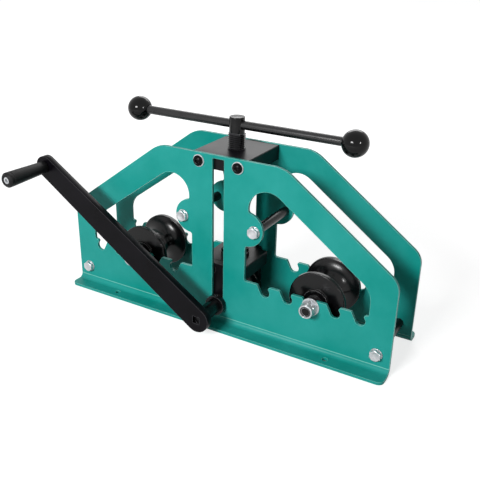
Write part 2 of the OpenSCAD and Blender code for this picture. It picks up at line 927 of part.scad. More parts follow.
// Driven grooved roller, keyed to the shaft
module centre_roller() {
    color("#151517") difference() {
        translate([0, 0, shaft_z]) rotate([90, 0, 0])
            rotate_extrude($fn = 96)
                roller_section(centre_roller_d, centre_core_r, shaft_d / 2 + fit_gap,
                    centre_core_r, centre_boss_h);
        key_room(fit_gap);
    }
}

module roller_key() {
    color("#8A8C90") key_room(0);
}

// Shaft collar just outside a side plate, with a set screw
module front_collar() {
    color("#222225") difference() {
        translate([0, 0, shaft_z])
            to_front(collar_in) ring(collar_d, shaft_d + 2 * fit_gap, collar_len);
        collar_screw_hole();
    }
}

module collar_screw_hole() {
    translate([0, -(collar_in + collar_out) / 2, shaft_z + shaft_d / 2 - over])
        cylinder(d = set_screw_d + 2 * fit_gap, h = collar_d / 2);
}

module rear_collar() {
    mirror([0, 1, 0]) front_collar();
}

// Set screws in the two shaft collars
module collar_screws() {
    length = (collar_d - shaft_d) / 2 - 0.6;
    color("#2B2B2E")
        for (side = [-1, 1])
            translate([0, side * (collar_in + collar_out) / 2, shaft_z + shaft_d / 2 + fit_gap])
                socket_screw(set_screw_d, length);
}

// Headless screw with a hexagonal socket at its top
module socket_screw(d, h) {
    difference() {
        cylinder(d = d, h = h);
        translate([0, 0, h / 2]) cylinder(d = d / 2 / cos(30), h = h, $fn = 6);
    }
}

// Outline of the crank arm: two round ends and flanks that run just inside their tangents
module crank_outline() {
    r1 = crank_r1 - 0.05;
    r2 = crank_r2 - 0.05;
    lean = (crank_r1 - crank_r2) / crank_len;
    across = sqrt(1 - lean ^ 2);
    up = lean * crank_dir + across * crank_side;
    down = lean * crank_dir - across * crank_side;
    low = [0, shaft_z];
    circle_at(low, crank_r1);
    circle_at(handle_at, crank_r2);
    polygon([low + r1 * down, handle_at + r2 * down, handle_at + r2 * up, low + r1 * up]);
}

// Crank arm with a square hole for the shaft and a round one for the handle bolt
module crank_arm() {
    hole = square_w + 2 * fit_gap;
    color("#232326") difference() {
        slab(crank_back, crank_t) difference() {
            crank_outline();
            translate([-hole / 2, shaft_z - hole / 2]) square(hole);
            circle_at(handle_at, handle_bolt_d / 2 + fit_gap);
        }
        translate([0, -(crank_back + crank_y) / 2, shaft_z])
            rotate([0, 180, 0]) cylinder(d = set_screw_d + 2 * fit_gap, h = crank_r1 + over);
    }
}

// Set screw from below that holds the crank on the square
module crank_set_screw() {
    length = crank_r1 - square_w / 2 - 2;
    color("#2B2B2E")
        translate([0, -(crank_back + crank_y) / 2, shaft_z - square_w / 2 - fit_gap])
            rotate([0, 180, 0]) socket_screw(set_screw_d, length);
}

// Bolt that the grip turns on, screwed through the arm
module handle_bolt() {
    tail = crank_back - handle_nut_h - 1;
    color("#D8DADC") translate([handle_at[0], 0, handle_at[1]]) {
        to_front(tail) cylinder(d = handle_bolt_d, h = head_seat - tail);
        to_front(head_seat) difference() {
            union() {
                cylinder(d = handle_head_d, h = handle_head_h - 1);
                translate([0, 0, handle_head_h - 1])
                    cylinder(d1 = handle_head_d, d2 = handle_head_d - 2, h = 1);
            }
            translate([0, 0, handle_head_h / 2])
                cylinder(d = 0.5 * handle_head_d / cos(30), h = handle_head_h, $fn = 6);
        }
    }
}

// Nut that locks the handle bolt behind the arm
module handle_nut() {
    color("#D8DADC") translate([handle_at[0], 0, handle_at[1]])
        to_front(crank_back) rotate([180, 0, 0])
            difference() {
                hex_prism(handle_nut_af, handle_nut_h);
                translate([0, 0, -over])
                    cylinder(d = handle_bolt_d + 2 * fit_gap, h = handle_nut_h + 2 * over);
            }
}

// Grip that turns freely on the handle bolt, with a sunk seat for the bolt's head
module handle_grip() {
    color("#1A1A1C") translate([handle_at[0], 0, handle_at[1]]) to_front(grip_in)
        difference() {
            rotate_extrude($fn = 96) polygon([
                [0, 0], [grip_d / 2 - 1, 0], [grip_d / 2, 1],
                [grip_end_d / 2, grip_len - grip_ring - 0.8],
                [grip_end_d / 2 - 0.6, grip_len - grip_ring],
                [grip_end_d / 2, grip_len - grip_ring + 0.8],
                [grip_end_d / 2, grip_len - grip_c],
                [grip_end_d / 2 - grip_c, grip_len], [0, grip_len]
            ]);
            translate([0, 0, -over])
                cylinder(d = handle_bolt_d + 2 * slide_gap, h = grip_len + 2 * over);
            translate([0, 0, head_seat - grip_in - slide_gap])
                cylinder(d = handle_head_d + 2 * seat_gap, h = grip_len);
        }
}

front_plate();
rear_plate();
cross_block();
block_screws();
block_washers();
lower_spacer_left();
lower_spacer_right();
upper_spacer_left();
upper_spacer_right();
spacer_bolts();
spacer_washers();
spacer_nuts();
left_axle();
right_axle();
left_sleeves();
right_sleeves();
axle_washers();
axle_nuts();
nut_inserts();
left_roller();
right_roller();
left_bushes();
right_bushes();
press_block();
front_leg();
rear_leg();
leg_screws();
front_bush();
rear_bush();
keeper_plates();
keeper_screws();
press_screw();
turning_bar();
left_ball();
right_ball();
drive_shaft();
centre_roller();
roller_key();
front_collar();
rear_collar();
collar_screws();
crank_arm();
crank_set_screw();
handle_bolt();
handle_nut();
handle_grip();
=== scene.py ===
"""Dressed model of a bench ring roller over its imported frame.

The folded side plates, blocks and crank keep their exact solids and get rounded edges and real
finishes. Turned, threaded and knurled pieces are made again here as fine meshes in their place.
Sizes are in millimetres, and X runs along the plates, Y to the rear and Z up.
"""

import logging
import math
from dataclasses import dataclass
from enum import Enum
from typing import Callable, Sequence

import bmesh
import bpy
from mathutils import Matrix, Vector


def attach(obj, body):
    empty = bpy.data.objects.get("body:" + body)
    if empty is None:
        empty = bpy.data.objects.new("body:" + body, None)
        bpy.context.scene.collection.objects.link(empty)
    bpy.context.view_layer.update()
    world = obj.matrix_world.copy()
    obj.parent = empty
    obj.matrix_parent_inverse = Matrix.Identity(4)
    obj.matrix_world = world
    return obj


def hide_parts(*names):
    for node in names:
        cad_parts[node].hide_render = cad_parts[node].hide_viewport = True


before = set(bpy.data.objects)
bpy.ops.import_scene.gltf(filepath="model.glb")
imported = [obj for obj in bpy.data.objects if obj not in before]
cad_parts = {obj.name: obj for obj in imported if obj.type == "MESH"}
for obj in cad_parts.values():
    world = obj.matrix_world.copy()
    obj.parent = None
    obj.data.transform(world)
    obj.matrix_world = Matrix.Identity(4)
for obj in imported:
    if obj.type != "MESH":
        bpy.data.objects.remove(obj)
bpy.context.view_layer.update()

LOG = logging.getLogger("ring_roller")
MM = 0.001
# Radius of a hexagon's flat face inside its chamfer, as a share of the size across flats.
CROWN = 0.47
# How many times longer than wide the lines of turning and milling are drawn.
LINE_STRETCH = 14.0
# Openness inside a piece where the pale edge colour starts, and where it is full; that colour is
# partly wear and partly painted highlight.
RIM_START, RIM_FULL = 0.85, 0.55
# Values of the cloudy noise between which the colour and the gloss run.
TONE_LOW, TONE_HIGH = 0.32, 0.68
GLOSS_LOW, GLOSS_HIGH = 0.3, 0.7
WHITE = (1.0, 1.0, 1.0, 1.0)

Pair = tuple[float, float]
Triple = tuple[float, float, float]
Section = Sequence[Pair]
Radius = Callable[[float], float]


class Way(Enum):
    """Directions in which a turned piece can point."""

    FRONT = (0.0, -1.0, 0.0)
    REAR = (0.0, 1.0, 0.0)
    UP = (0.0, 0.0, 1.0)
    LEFT = (-1.0, 0.0, 0.0)
    RIGHT = (1.0, 0.0, 0.0)


class Slot(Enum):
    """The record's material slots."""

    TEAL = "teal_paint"
    BLACK = "black_steel"
    SCREW = "black_fastener"
    ROLLER = "roller_black"
    ZINC = "zinc"
    BRONZE = "bronze"
    KEY = "key_steel"
    NYLON = "insert_nylon"
    BALL = "ball_gloss"
    GRIP = "grip_plastic"


# ---------------------------------------------------------------- meshes


def placed(at: Sequence[float], way: Way) -> Matrix:
    """Matrix that stands local +Z along a direction.

    Args:
        at: Place of the local origin, in millimetres.
        way: Direction that local +Z takes.

    Returns:
        Matrix from local millimetres to the row's metres.
    """
    axis = Vector(way.value)
    side = Vector((0, 0, 1)) if abs(axis.z) < 0.5 else Vector((0, 1, 0))
    x = side.cross(axis).normalized()
    y = axis.cross(x)
    turn = Matrix((x, y, axis)).transposed().to_4x4()
    return Matrix.Translation(Vector(at) * MM) @ turn @ Matrix.Scale(MM, 4)


def both_ends(x: float, y: float, z: float) -> list[Matrix]:
    """Places to the left and right, on the front and the rear, pointing outwards.

    Args:
        x: Distance from the middle along the plates.
        y: Distance from the middle to the front and to the rear.
        z: Height.

    Returns:
        The four places: left front, left rear, right front and right rear.
    """
    return [
        placed((sx * x, sy * y, z), way)
        for sx in (-1, 1)
        for sy, way in ((-1, Way.FRONT), (1, Way.REAR))
    ]


def rounded(corners: Sequence[Triple], steps: int = 4) -> list[Pair]:
    """Half section with its corners rounded.

    Args:
        corners: Radius, height and rounding of each corner; 0 keeps a corner sharp.
        steps: Pieces of each rounding.

    Returns:
        Radius and height of each point.
    """
    out: list[Pair] = []
    for i, (r, z, fillet) in enumerate(corners):
        here = Vector((r, z))
        if fillet <= 0 or i in (0, len(corners) - 1):
            out.append((r, z))
            continue
        before = (Vector(corners[i - 1][:2]) - here).normalized() * fillet
        after = (Vector(corners[i + 1][:2]) - here).normalized() * fillet
        for k in range(steps + 1):
            t = k / steps
            p = here + before * (1 - t) ** 2 + after * t**2
            out.append((p.x, p.y))
    return out


class Turned:
    """Closed skin made of rings round a local +Z axis, in millimetres."""

    def __init__(self, segments: int = 96) -> None:
        """Starts an empty skin with that many points in each ring."""
        self.segments = segments
        self.bm = bmesh.new()
        self.last: list[bmesh.types.BMVert] | None = None

    def ring(self, radius: float | Radius, height: float | Radius) -> "Turned":
        """Adds a ring and joins it to the one before.

        Args:
            radius: Radius, or its value at each angle.
            height: Height, or its value at each angle.

        Returns:
            The same skin.
        """
        points = []
        for k in range(self.segments):
            a = math.tau * k / self.segments
            r = radius(a) if callable(radius) else radius
            z = height(a) if callable(height) else height
            points.append(self.bm.verts.new((r * math.cos(a), r * math.sin(a), z)))
        if self.last:
            for k in range(self.segments):
                n = (k + 1) % self.segments
                self.bm.faces.new((self.last[k], self.last[n], points[n], points[k]))
        self.last = points
        return self

    def section(self, points: Section) -> "Turned":
        """Adds one ring for each point of a half section.

        Args:
            points: Radius and height of each ring.

        Returns:
            The same skin.
        """
        for r, z in points:
            self.ring(max(r, 0.0), z)
        return self

    def part(self) -> "Turned":
        """Ends the skin here, so that the next ring starts a new one."""
        self.last = None
        return self

    def thread(self, root: float, crest: float, pitch: float, low: float, high: float) -> "Turned":
        """Adds the flanks of a right-hand thread.

        Args:
            root: Radius at the bottom of the thread.
            crest: Radius at the top of the thread.
            pitch: Rise in one turn.
            low: Height where the thread starts.
            high: Height where it ends.

        Returns:
            The same skin.
        """
        deep, steps = crest - root, 8
        run_in, run_out = 1.0, 0.25
        shape = [
            (k / steps, root + deep * (0.5 - 0.5 * math.cos(math.tau * k / steps)))
            for k in range(steps)
        ]
        n = self.segments
        turns = math.ceil((high - low) / pitch) + 1
        rows = []
        for i in range(-len(shape), turns * len(shape)):
            turn, k = divmod(i, len(shape))
            offset, r = shape[k]
            row = []
            for j in range(n + 1):
                z = low + pitch * (turn + offset + j / n)
                a = math.tau * j / n
                near = min((z - low) / (run_in * pitch), (high - z) / (run_out * pitch))
                fade = min(max(near, 0.0), 1.0)
                rr = root + (r - root) * fade
                zz = min(max(z, low), high)
                row.append(self.bm.verts.new((rr * math.cos(a), rr * math.sin(a), zz)))
            rows.append(row)
        for one, two in zip(rows, rows[1:]):
            for j in range(n):
                self.bm.faces.new((one[j], one[j + 1], two[j + 1], two[j]))
        self.last = None
        return self

    def add(self, other: bpy.types.Mesh) -> "Turned":
        """Takes in a ready mesh that is in the same local frame."""
        self.bm.from_mesh(other)
        return self

    def piece(self, name: str, places: Sequence[Matrix], sharp: float = 34.0) -> bpy.types.Object:
        """Makes one object of the skin, set down at each place.

        Args:
            name: Name of the object.
            places: Matrices from local millimetres to the row's metres.
            sharp: Angle in degrees from which an edge stays sharp.

        Returns:
            The new object, at the origin.
        """
        bm = self.bm
        bmesh.ops.remove_doubles(bm, verts=bm.verts, dist=2e-4)
        bmesh.ops.dissolve_degenerate(bm, edges=bm.edges, dist=1e-4)
        bmesh.ops.recalc_face_normals(bm, faces=bm.faces)
        for face in bm.faces:
            face.smooth = True
        for edge in bm.edges:
            if len(edge.link_faces) == 2:
                edge.smooth = edge.calc_face_angle(0.0) < math.radians(sharp)
        single = bpy.data.meshes.new(name + "_one")
        bm.to_mesh(single)
        bm.free()
        whole = bmesh.new()
        for place in places:
            copy = single.copy()
            copy.transform(place)
            whole.from_mesh(copy)
            bpy.data.meshes.remove(copy)
        mesh = bpy.data.meshes.new(name)
        whole.to_mesh(mesh)
        whole.free()
        bpy.data.meshes.remove(single)
        obj = bpy.data.objects.new(name, mesh)
        bpy.context.scene.collection.objects.link(obj)
        return obj


def hexagon(across: float) -> Radius:
    """Radius of a hexagon at each angle.

    Args:
        across: Size across the flats.

    Returns:
        Function from angle to radius.
    """

    def radius(angle: float) -> float:
        """Radius of the hexagon at one angle."""
        return across / 2 / math.cos((angle + math.pi / 6) % (math.pi / 3) - math.pi / 6)

    return radius


def hex_end(across: float, height: float) -> Radius:
    """Height at which a hexagon's flats meet its 30 degree chamfer, at each angle.

    Args:
        across: Size across the flats.
        height: Height of the head or nut.

    Returns:
        Function from angle to height.
    """
    flat = hexagon(across)
    crown = across * CROWN

    def top(angle: float) -> float:
        """Height of the flats' upper edge at one angle."""
        return height - (flat(angle) - crown) * math.tan(math.radians(30))

    return top


def soften(node: bpy.types.Object, width: float, segments: int = 2) -> None:
    """Rounds the sharp edges of a CAD node without touching its mesh.

    Args:
        node: The CAD node.
        width: Width of the rounding, in millimetres.
        segments: Pieces of the rounding.
    """
    weld = node.modifiers.new("weld", "WELD")
    weld.merge_threshold = 1e-6
    flat = node.modifiers.new("flat", "DECIMATE")
    flat.decimate_type = "DISSOLVE"
    flat.angle_limit = math.radians(0.5)
    bevel = node.modifiers.new("bevel", "BEVEL")
    bevel.width = width * MM
    bevel.segments = segments
    bevel.limit_method = "ANGLE"
    bevel.angle_limit = math.radians(32)
    bevel.harden_normals = True
    bevel.use_clamp_overlap = True


# ---------------------------------------------------------------- finishes


def linear(code: str) -> tuple[float, float, float, float]:
    """Turns an sRGB hex code into linear colour.

    Args:
        code: Code such as #1FA090.

    Returns:
        Linear red, green and blue, with alpha 1.
    """
    parts = [int(code[i : i + 2], 16) / 255 for i in (1, 3, 5)]
    red, green, blue = (c / 12.92 if c <= 0.04045 else ((c + 0.055) / 1.055) ** 2.4 for c in parts)
    return red, green, blue, 1.0


def add_node(
    tree: bpy.types.NodeTree,
    kind: str,
    settings: dict | None = None,
    links: dict | None = None,
) -> bpy.types.Node:
    """Adds a shader node.

    Args:
        tree: Tree that takes the node.
        kind: Blender's name of the node type.
        settings: Value of each input or property; "stops" holds a colour ramp's places and colours.
        links: Output that feeds each input.

    Returns:
        The new node.
    """
    node = tree.nodes.new(kind)
    for key, value in (settings or {}).items():
        if key == "stops":
            elements = node.color_ramp.elements
            while len(elements) < len(value):
                elements.new(0.5)
            for element, (place, colour) in zip(elements, value):
                element.position, element.color = place, colour
        elif isinstance(key, int) or key in node.inputs:
            node.inputs[key].default_value = value
        else:
            setattr(node, key, value)
    for key, output in (links or {}).items():
        tree.links.new(output, node.inputs[key])
    return node


@dataclass(frozen=True)
class Finish:
    """Look of one surface: its colours, gloss and the size of its texture."""

    name: str
    slot: Slot
    colour: str
    deep: str
    edge: str
    rough: tuple[float, float]
    metallic: float = 0.0
    grain_mm: float = 1.0
    relief_mm: float = 0.01
    patch_mm: float = 90.0
    ior: float = 1.5
    shine: float = 0.5
    edge_mm: float = 0.8
    edge_share: float = 0.55

    def grain(self, tree: bpy.types.NodeTree, at: bpy.types.NodeSocket) -> bpy.types.NodeSocket:
        """Fine texture of the surface, from 0 to 1."""
        return add_node(
            tree,
            "ShaderNodeTexNoise",
            {"Scale": 1 / (self.grain_mm * MM), "Detail": 2.0, "Roughness": 0.55},
            {"Vector": at},
        ).outputs["Fac"]

    def marks(
        self, tree: bpy.types.NodeTree, at: bpy.types.NodeSocket, wear_and_highlight: bpy.types.NodeSocket
    ) -> bpy.types.NodeSocket:
        """Share of the edge colour at each place, from 0 to 1; the plain finish adds no marks."""
        return wear_and_highlight

    def material(self) -> bpy.types.Material:
        """Builds the material, or gives the one that is there.

        Edges get a pale colour, partly wear and partly a painted highlight, found from inside the
        piece:
        near an edge, a short look inwards soon meets another of its faces, and below a flat it
        doesn't.

        Returns:
            The material.
        """
        if self.name in bpy.data.materials:
            return bpy.data.materials[self.name]
        mat = bpy.data.materials.new(self.name)
        mat.use_nodes = True
        tree = mat.node_tree
        shader = tree.nodes["Principled BSDF"]
        shader.inputs["Metallic"].default_value = self.metallic
        if self.metallic < 0.5:
            shader.inputs["IOR"].default_value = self.ior
            shader.inputs["Specular IOR Level"].default_value = self.shine
        at = add_node(tree, "ShaderNodeTexCoord").outputs["Object"]
        patch = add_node(
            tree,
            "ShaderNodeTexNoise",
            {"Scale": 1 / (self.patch_mm * MM), "Detail": 4.0, "Roughness": 0.6},
            {"Vector": at},
        )
        stops = ((TONE_LOW, linear(self.deep)), (TONE_HIGH, linear(self.colour)))
        tone = add_node(
            tree, "ShaderNodeValToRGB", {"stops": stops}, {"Fac": patch.outputs["Fac"]}
        )
        grain = self.grain(tree, at)
        rim = add_node(
            tree,
            "ShaderNodeAmbientOcclusion",
            {"samples": 8, "inside": True, "only_local": True, "Distance": self.edge_mm * MM},
        )
        # Pale edge colour: partly wear, partly a painted highlight along the edges.
        wear_and_highlight = add_node(
            tree,
            "ShaderNodeMapRange",
            {"From Min": RIM_START, "From Max": RIM_FULL, "To Max": self.edge_share},
            {"Value": rim.outputs["AO"]},
        )
        colour = add_node(
            tree,
            "ShaderNodeMix",
            {"data_type": "RGBA", 7: linear(self.edge)},
            {0: self.marks(tree, at, wear_and_highlight.outputs["Result"]), 6: tone.outputs["Color"]},
        )
        low, high = self.rough
        gloss = add_node(
            tree,
            "ShaderNodeMapRange",
            {"From Min": GLOSS_LOW, "From Max": GLOSS_HIGH, "To Min": low, "To Max": high},
            {"Value": patch.outputs["Fac"]},
        )
        bump = add_node(
            tree,
            "ShaderNodeBump",
            {"Strength": 0.6, "Distance": self.relief_mm * MM},
            {"Height": grain},
        )
        tree.links.new(colour.outputs[2], shader.inputs["Base Color"])
        tree.links.new(gloss.outputs["Result"], shader.inputs["Roughness"])
        tree.links.new(bump.outputs["Normal"], shader.inputs["Normal"])
        return mat

    def dress(self, obj: bpy.types.Object) -> None:
        """Gives an object this finish alone."""
        obj.data.materials.clear()
        obj.data.materials.append(self.material())


@dataclass(frozen=True)
class Machined(Finish):
    """Finish that keeps the fine lines of turning or milling under it.

    Real tool lines are about 0.1 mm apart. grain_mm draws them coarser, so that they show.
    """

    stretch: Triple = (1.0, LINE_STRETCH, LINE_STRETCH)

    def grain(self, tree: bpy.types.NodeTree, at: bpy.types.NodeSocket) -> bpy.types.NodeSocket:
        """Fine lines drawn out along the tool's path."""
        lines = add_node(tree, "ShaderNodeMapping", {"Scale": self.stretch}, {"Vector": at})
        return add_node(
            tree,
            "ShaderNodeTexNoise",
            {"Scale": 1 / (self.grain_mm * LINE_STRETCH * MM), "Detail": 3.0, "Roughness": 0.6},
            {"Vector": lines.outputs["Vector"]},
        ).outputs["Fac"]


@dataclass(frozen=True)
class FoldHighlightCoat(Finish):
    """Coat on folded sheet, with a painted highlight: a pale line where the fold starts."""

    fold_mm: float = 13.0
    highlight_mm: float = 1.1
    highlight_share: float = 0.7

    def marks(
        self, tree: bpy.types.NodeTree, at: bpy.types.NodeSocket, wear_and_highlight: bpy.types.NodeSocket
    ) -> bpy.types.NodeSocket:
        """Adds the painted highlight line along the fold to the edge colour's share.

        Args:
            tree: Tree that takes the nodes.
            at: Place on the piece.
            wear_and_highlight: Share of the edge colour on the edges, partly wear and partly
                painted highlight.

        Returns:
            The larger of the two shares.
        """
        height = add_node(tree, "ShaderNodeSeparateXYZ", links={0: at}).outputs["Z"]
        off = add_node(
            tree, "ShaderNodeMath", {"operation": "SUBTRACT", 1: self.fold_mm * MM}, {0: height}
        )
        away = add_node(
            tree, "ShaderNodeMath", {"operation": "ABSOLUTE"}, {0: off.outputs["Value"]}
        )
        # Painted highlight: a pale line where the fold starts.
        line = add_node(
            tree,
            "ShaderNodeMapRange",
            {"From Max": self.highlight_mm * MM, "To Min": self.highlight_share, "To Max": 0.0},
            {"Value": away.outputs["Value"]},
        )
        both = add_node(
            tree, "ShaderNodeMath", {"operation": "MAXIMUM"}, {0: wear_and_highlight, 1: line.outputs["Result"]}
        )
        return both.outputs["Value"]


# Powder-coated steel: a thick even skin with faint orange peel; its paler edges are partly thin
# coat and partly painted highlight, and a painted highlight line runs along the fold.
POWDER_COAT = FoldHighlightCoat(
    "PowderCoatedSteel_Teal", Slot.TEAL, "#29A59D", "#02968C", "#A8F0E0",
    rough=(0.34, 0.44), grain_mm=1.6, relief_mm=0.015, patch_mm=110, shine=0.22, edge_mm=1.0,
    edge_share=0.8,
)
# Black-oxide steel, milled: satin, with fine tool lines and a faint cold bloom.
BLACK_OXIDE = Machined(
    "BlackOxideSteel_Milled", Slot.BLACK, "#110F14", "#09080B", "#A0A0A6",
    rough=(0.28, 0.38), grain_mm=0.5, relief_mm=0.006, patch_mm=60, shine=0.13, edge_mm=1.1,
    edge_share=0.6,
)
# The crank's flat bar, blackened and oiled: nearly black, cold in tint, edges faintly paler, partly
# rubbed and partly a painted highlight.
CRANK_BLACK = Machined(
    "BlackOxideSteel_Oiled", Slot.BLACK, "#0D0B10", "#060508", "#A0A0A6",
    rough=(0.26, 0.40), grain_mm=0.5, relief_mm=0.006, patch_mm=45, shine=0.08, edge_mm=1.1,
    edge_share=0.25,
)
# Black-oxide steel, turned: lines run round the piece, and its pale edges are partly rubbed and
# partly painted glints.
BLACK_TURNED = Machined(
    "BlackOxideSteel_Turned", Slot.BLACK, "#0E0E10", "#08080A", "#9A999E",
    rough=(0.22, 0.32), grain_mm=0.4, relief_mm=0.004, patch_mm=30, shine=0.2, edge_mm=0.7,
    stretch=(LINE_STRETCH, LINE_STRETCH, 1.0),
)
# The press screw: oiled black oxide, so each crest of the thread holds a small bright glint; the
# crests' slightly paler colour adds a painted highlight.
THREAD_BLACK = Machined(
    "BlackOxideSteel_Thread", Slot.BLACK, "#09090B", "#050506", "#8C8B90",
    rough=(0.16, 0.22), grain_mm=0.4, relief_mm=0.002, patch_mm=30, shine=0.22, edge_mm=0.4,
    edge_share=0.2, stretch=(LINE_STRETCH, LINE_STRETCH, 1.0),
)
# The sliding bar: black oxide polished by hands, so its upper side shows a long pale sheen.
BAR_BLACK = Machined(
    "BlackOxideSteel_Handled", Slot.BLACK, "#121214", "#0B0B0D", "#66656A",
    rough=(0.24, 0.34), grain_mm=0.4, relief_mm=0.006, patch_mm=30, shine=0.5,
)
# Alloy cap screws, heat-blackened and oiled: darker and glossier than the plain steel; their pale
# socket and head edges are painted glints.
SCREW_BLACK = Finish(
    "AlloySteel_Blackened", Slot.SCREW, "#09090A", "#050506", "#C8C8CC",
    rough=(0.20, 0.30), grain_mm=0.5, relief_mm=0.004, patch_mm=12, shine=0.08, edge_mm=0.5,
)
# Cast iron under gloss enamel: deep black with soft wide highlights and a slightly wavy skin; the
# near-white rims and hub edges are painted highlights.
ROLLER_ENAMEL = Finish(
    "CastIron_BlackEnamel", Slot.ROLLER, "#0C0B0D", "#060607", "#D8D8DC",
    rough=(0.18, 0.26), grain_mm=4.0, relief_mm=0.02, patch_mm=45, shine=0.28, edge_mm=1.0,
    edge_share=1.0,
)
# Bright zinc plate on steel: pale, slightly cloudy metal with soft reflections. Real zinc is fully
# metallic; 0.65 was matched, because it keeps the small heads pale and clean.
ZINC = Machined(
    "ZincPlatedSteel_Bright", Slot.ZINC, "#D4D6D8", "#B4B7BB", "#FAFBFB",
    rough=(0.26, 0.36), metallic=0.65, grain_mm=0.4, relief_mm=0.003, patch_mm=8,
    stretch=(6.0, LINE_STRETCH, 6.0), edge_mm=0.5,
)
# Sintered bronze soaked in oil: dark brown, with a warm rim where it is rubbed.
BRONZE = Machined(
    "SinteredBronze_Oiled", Slot.BRONZE, "#5A452C", "#3B2A1A", "#8A6C44",
    rough=(0.34, 0.46), metallic=1.0, grain_mm=0.5, relief_mm=0.006, patch_mm=12,
)
# Ground key steel: plain bright metal with straight grinding lines.
KEY_STEEL = Machined(
    "KeySteel_Ground", Slot.KEY, "#A9ABAE", "#8C8E91", "#D5D6D8",
    rough=(0.26, 0.36), metallic=1.0, grain_mm=0.3, relief_mm=0.004, patch_mm=10,
)
# Nylon locking ring: dark, waxy and slightly ribbed by the thread.
NYLON = Finish(
    "Nylon_Moulded", Slot.NYLON, "#17171A", "#101012", "#2C2C30",
    rough=(0.42, 0.55), grain_mm=0.6, relief_mm=0.01, patch_mm=6, ior=1.53,
)
# Phenolic resin balls, moulded and polished: glossy black with a clean reflection.
PHENOLIC = Finish(
    "PhenolicResin_Polished", Slot.BALL, "#0A0A0B", "#060607", "#2A2A2C",
    rough=(0.08, 0.12), grain_mm=3.0, relief_mm=0.003, patch_mm=25, shine=0.2,
)
# Moulded grip: black plastic with a fine spark-eroded stipple that softens the highlight.
GRIP_PLASTIC = Finish(
    "Polypropylene_Stippled", Slot.GRIP, "#121213", "#0D0D0E", "#2C2C2E",
    rough=(0.44, 0.54), grain_mm=0.7, relief_mm=0.01, patch_mm=20, shine=0.2,
)


class Assembly:
    """Base of the sub-assemblies: names its pieces and puts them on their bodies."""

    body = "frame"

    def build(self) -> None:
        """Makes and dresses the pieces; each sub-assembly says how."""
        raise NotImplementedError

    def keep(self, name: str, finish: Finish, width: float = 0.0) -> None:
        """Gives a CAD node its finish and, if asked, rounded edges.

        Args:
            name: Name of the node.
            finish: Finish of the whole node.
            width: Width of the rounding in millimetres; 0 leaves the edges sharp.
        """
        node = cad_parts[name]
        finish.dress(node)
        if width > 0:
            soften(node, width)
        LOG.info("kept %s in %s", name, finish.name)

    def put(
        self, obj: bpy.types.Object, finish: Finish, *nodes: str, body: str | None = None
    ) -> None:
        """Finishes a new piece and puts it on its body.

        Args:
            obj: The new piece.
            finish: Finish of the whole piece.
            nodes: CAD nodes that it stands for.
            body: Body that it rides on, if not the sub-assembly's own.
        """
        finish.dress(obj)
        if nodes:
            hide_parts(*nodes)
        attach(obj, body or self.body)
        LOG.info("made %s on %s", obj.name, body or self.body)


# ---------------------------------------------------------------- fasteners


@dataclass
class CapScrew:
    """Socket cap screw with a knurled head."""

    head_d: float
    head_h: float
    shank_d: float
    shank: float
    socket: float
    ridges: int = 36
    knurl_share: float = 0.03

    def skin(self) -> Turned:
        """Head, socket and shank.

        Returns:
            Closed skin with the head's seat at z = 0.
        """
        t = Turned(self.ridges * 4)
        r, h = self.head_d / 2, self.head_h

        def knurl(angle: float) -> float:
            """Radius of the knurled band."""
            return r - self.knurl_share * r * abs(math.sin(self.ridges * angle / 2)) ** 0.7

        flat = hexagon(self.socket)
        t.section([(0, -self.shank), (self.shank_d / 2 - 0.8, -self.shank)])
        t.section([(self.shank_d / 2, -self.shank + 0.8), (self.shank_d / 2, 0), (r - 0.5, 0)])
        t.ring(r * 0.965, 0.5).ring(knurl, 0.9).ring(knurl, h * 0.84)
        t.section([(r * 0.96, h * 0.87), (r * 0.955, h * 0.93), (r * 0.9, h), (r * 0.66, h)])
        t.ring(lambda a: flat(a) + 0.3, h).ring(flat, h - 0.3)
        t.ring(flat, h * 0.2).section([(0, h * 0.12)])
        return t


@dataclass
class ButtonScrew:
    """Socket screw with a low domed head."""

    head_d: float
    head_h: float
    shank_d: float
    shank: float
    socket: float

    def skin(self) -> Turned:
        """Domed head, socket and shank.

        Returns:
            Closed skin with the head's seat at z = 0.
        """
        t = Turned(96)
        r, h, s = self.head_d / 2, self.head_h, self.shank_d / 2
        rise = 0.7 * h
        ball = (r * r + rise * rise) / (2 * rise)
        flat, mouth = hexagon(self.socket), self.socket * 0.62
        t.section([(0, -self.shank), (s - 0.8, -self.shank), (s, -self.shank + 0.8), (s, 0)])
        t.section([(r - 0.3, 0), (r, 0.3), (r, h - rise - 0.1)])
        for k in range(13):
            a = r + (mouth - r) * k / 12
            t.ring(a, h - ball + math.sqrt(ball * ball - a * a))
        deep = 0.4 * h
        top = h - ball + math.sqrt(ball * ball - mouth * mouth)
        t.ring(flat, top - 0.35).ring(flat, deep)
        return t.section([(0, deep - 0.4)])


@dataclass
class HexPiece:
    """Hexagon head or nut with the usual chamfered crown."""

    across: float
    height: float
    bore: float = 0.0

    def skin(self) -> Turned:
        """Hexagon, with its bore if it is a nut.

        Returns:
            Closed skin that stands on z = 0.
        """
        t = Turned(96)
        flat, top = hexagon(self.across), hex_end(self.across, self.height)
        crown = self.across * CROWN
        if self.bore:
            t.section([(self.bore / 2, 0.8), (self.bore / 2 + 0.8, 0)])
        else:
            t.section([(0, 0)])
        t.section([(crown, 0)])
        t.ring(lambda a: flat(a) - 0.15, 0.05).ring(flat, 0.35)
        t.ring(flat, lambda a: top(a) - 0.15).ring(lambda a: flat(a) - 0.12, top)
        t.section([(crown, self.height), (crown - 0.5, self.height)])
        if self.bore:
            t.section([(self.bore / 2 + 0.8, self.height), (self.bore / 2, self.height - 0.8)])
            t.section([(self.bore / 2, 0.8)])
        else:
            dish, h = crown * 0.82, self.height
            t.section([(dish, h), (dish - 0.5, h - 0.25), (0, h - 0.3)])
        return t


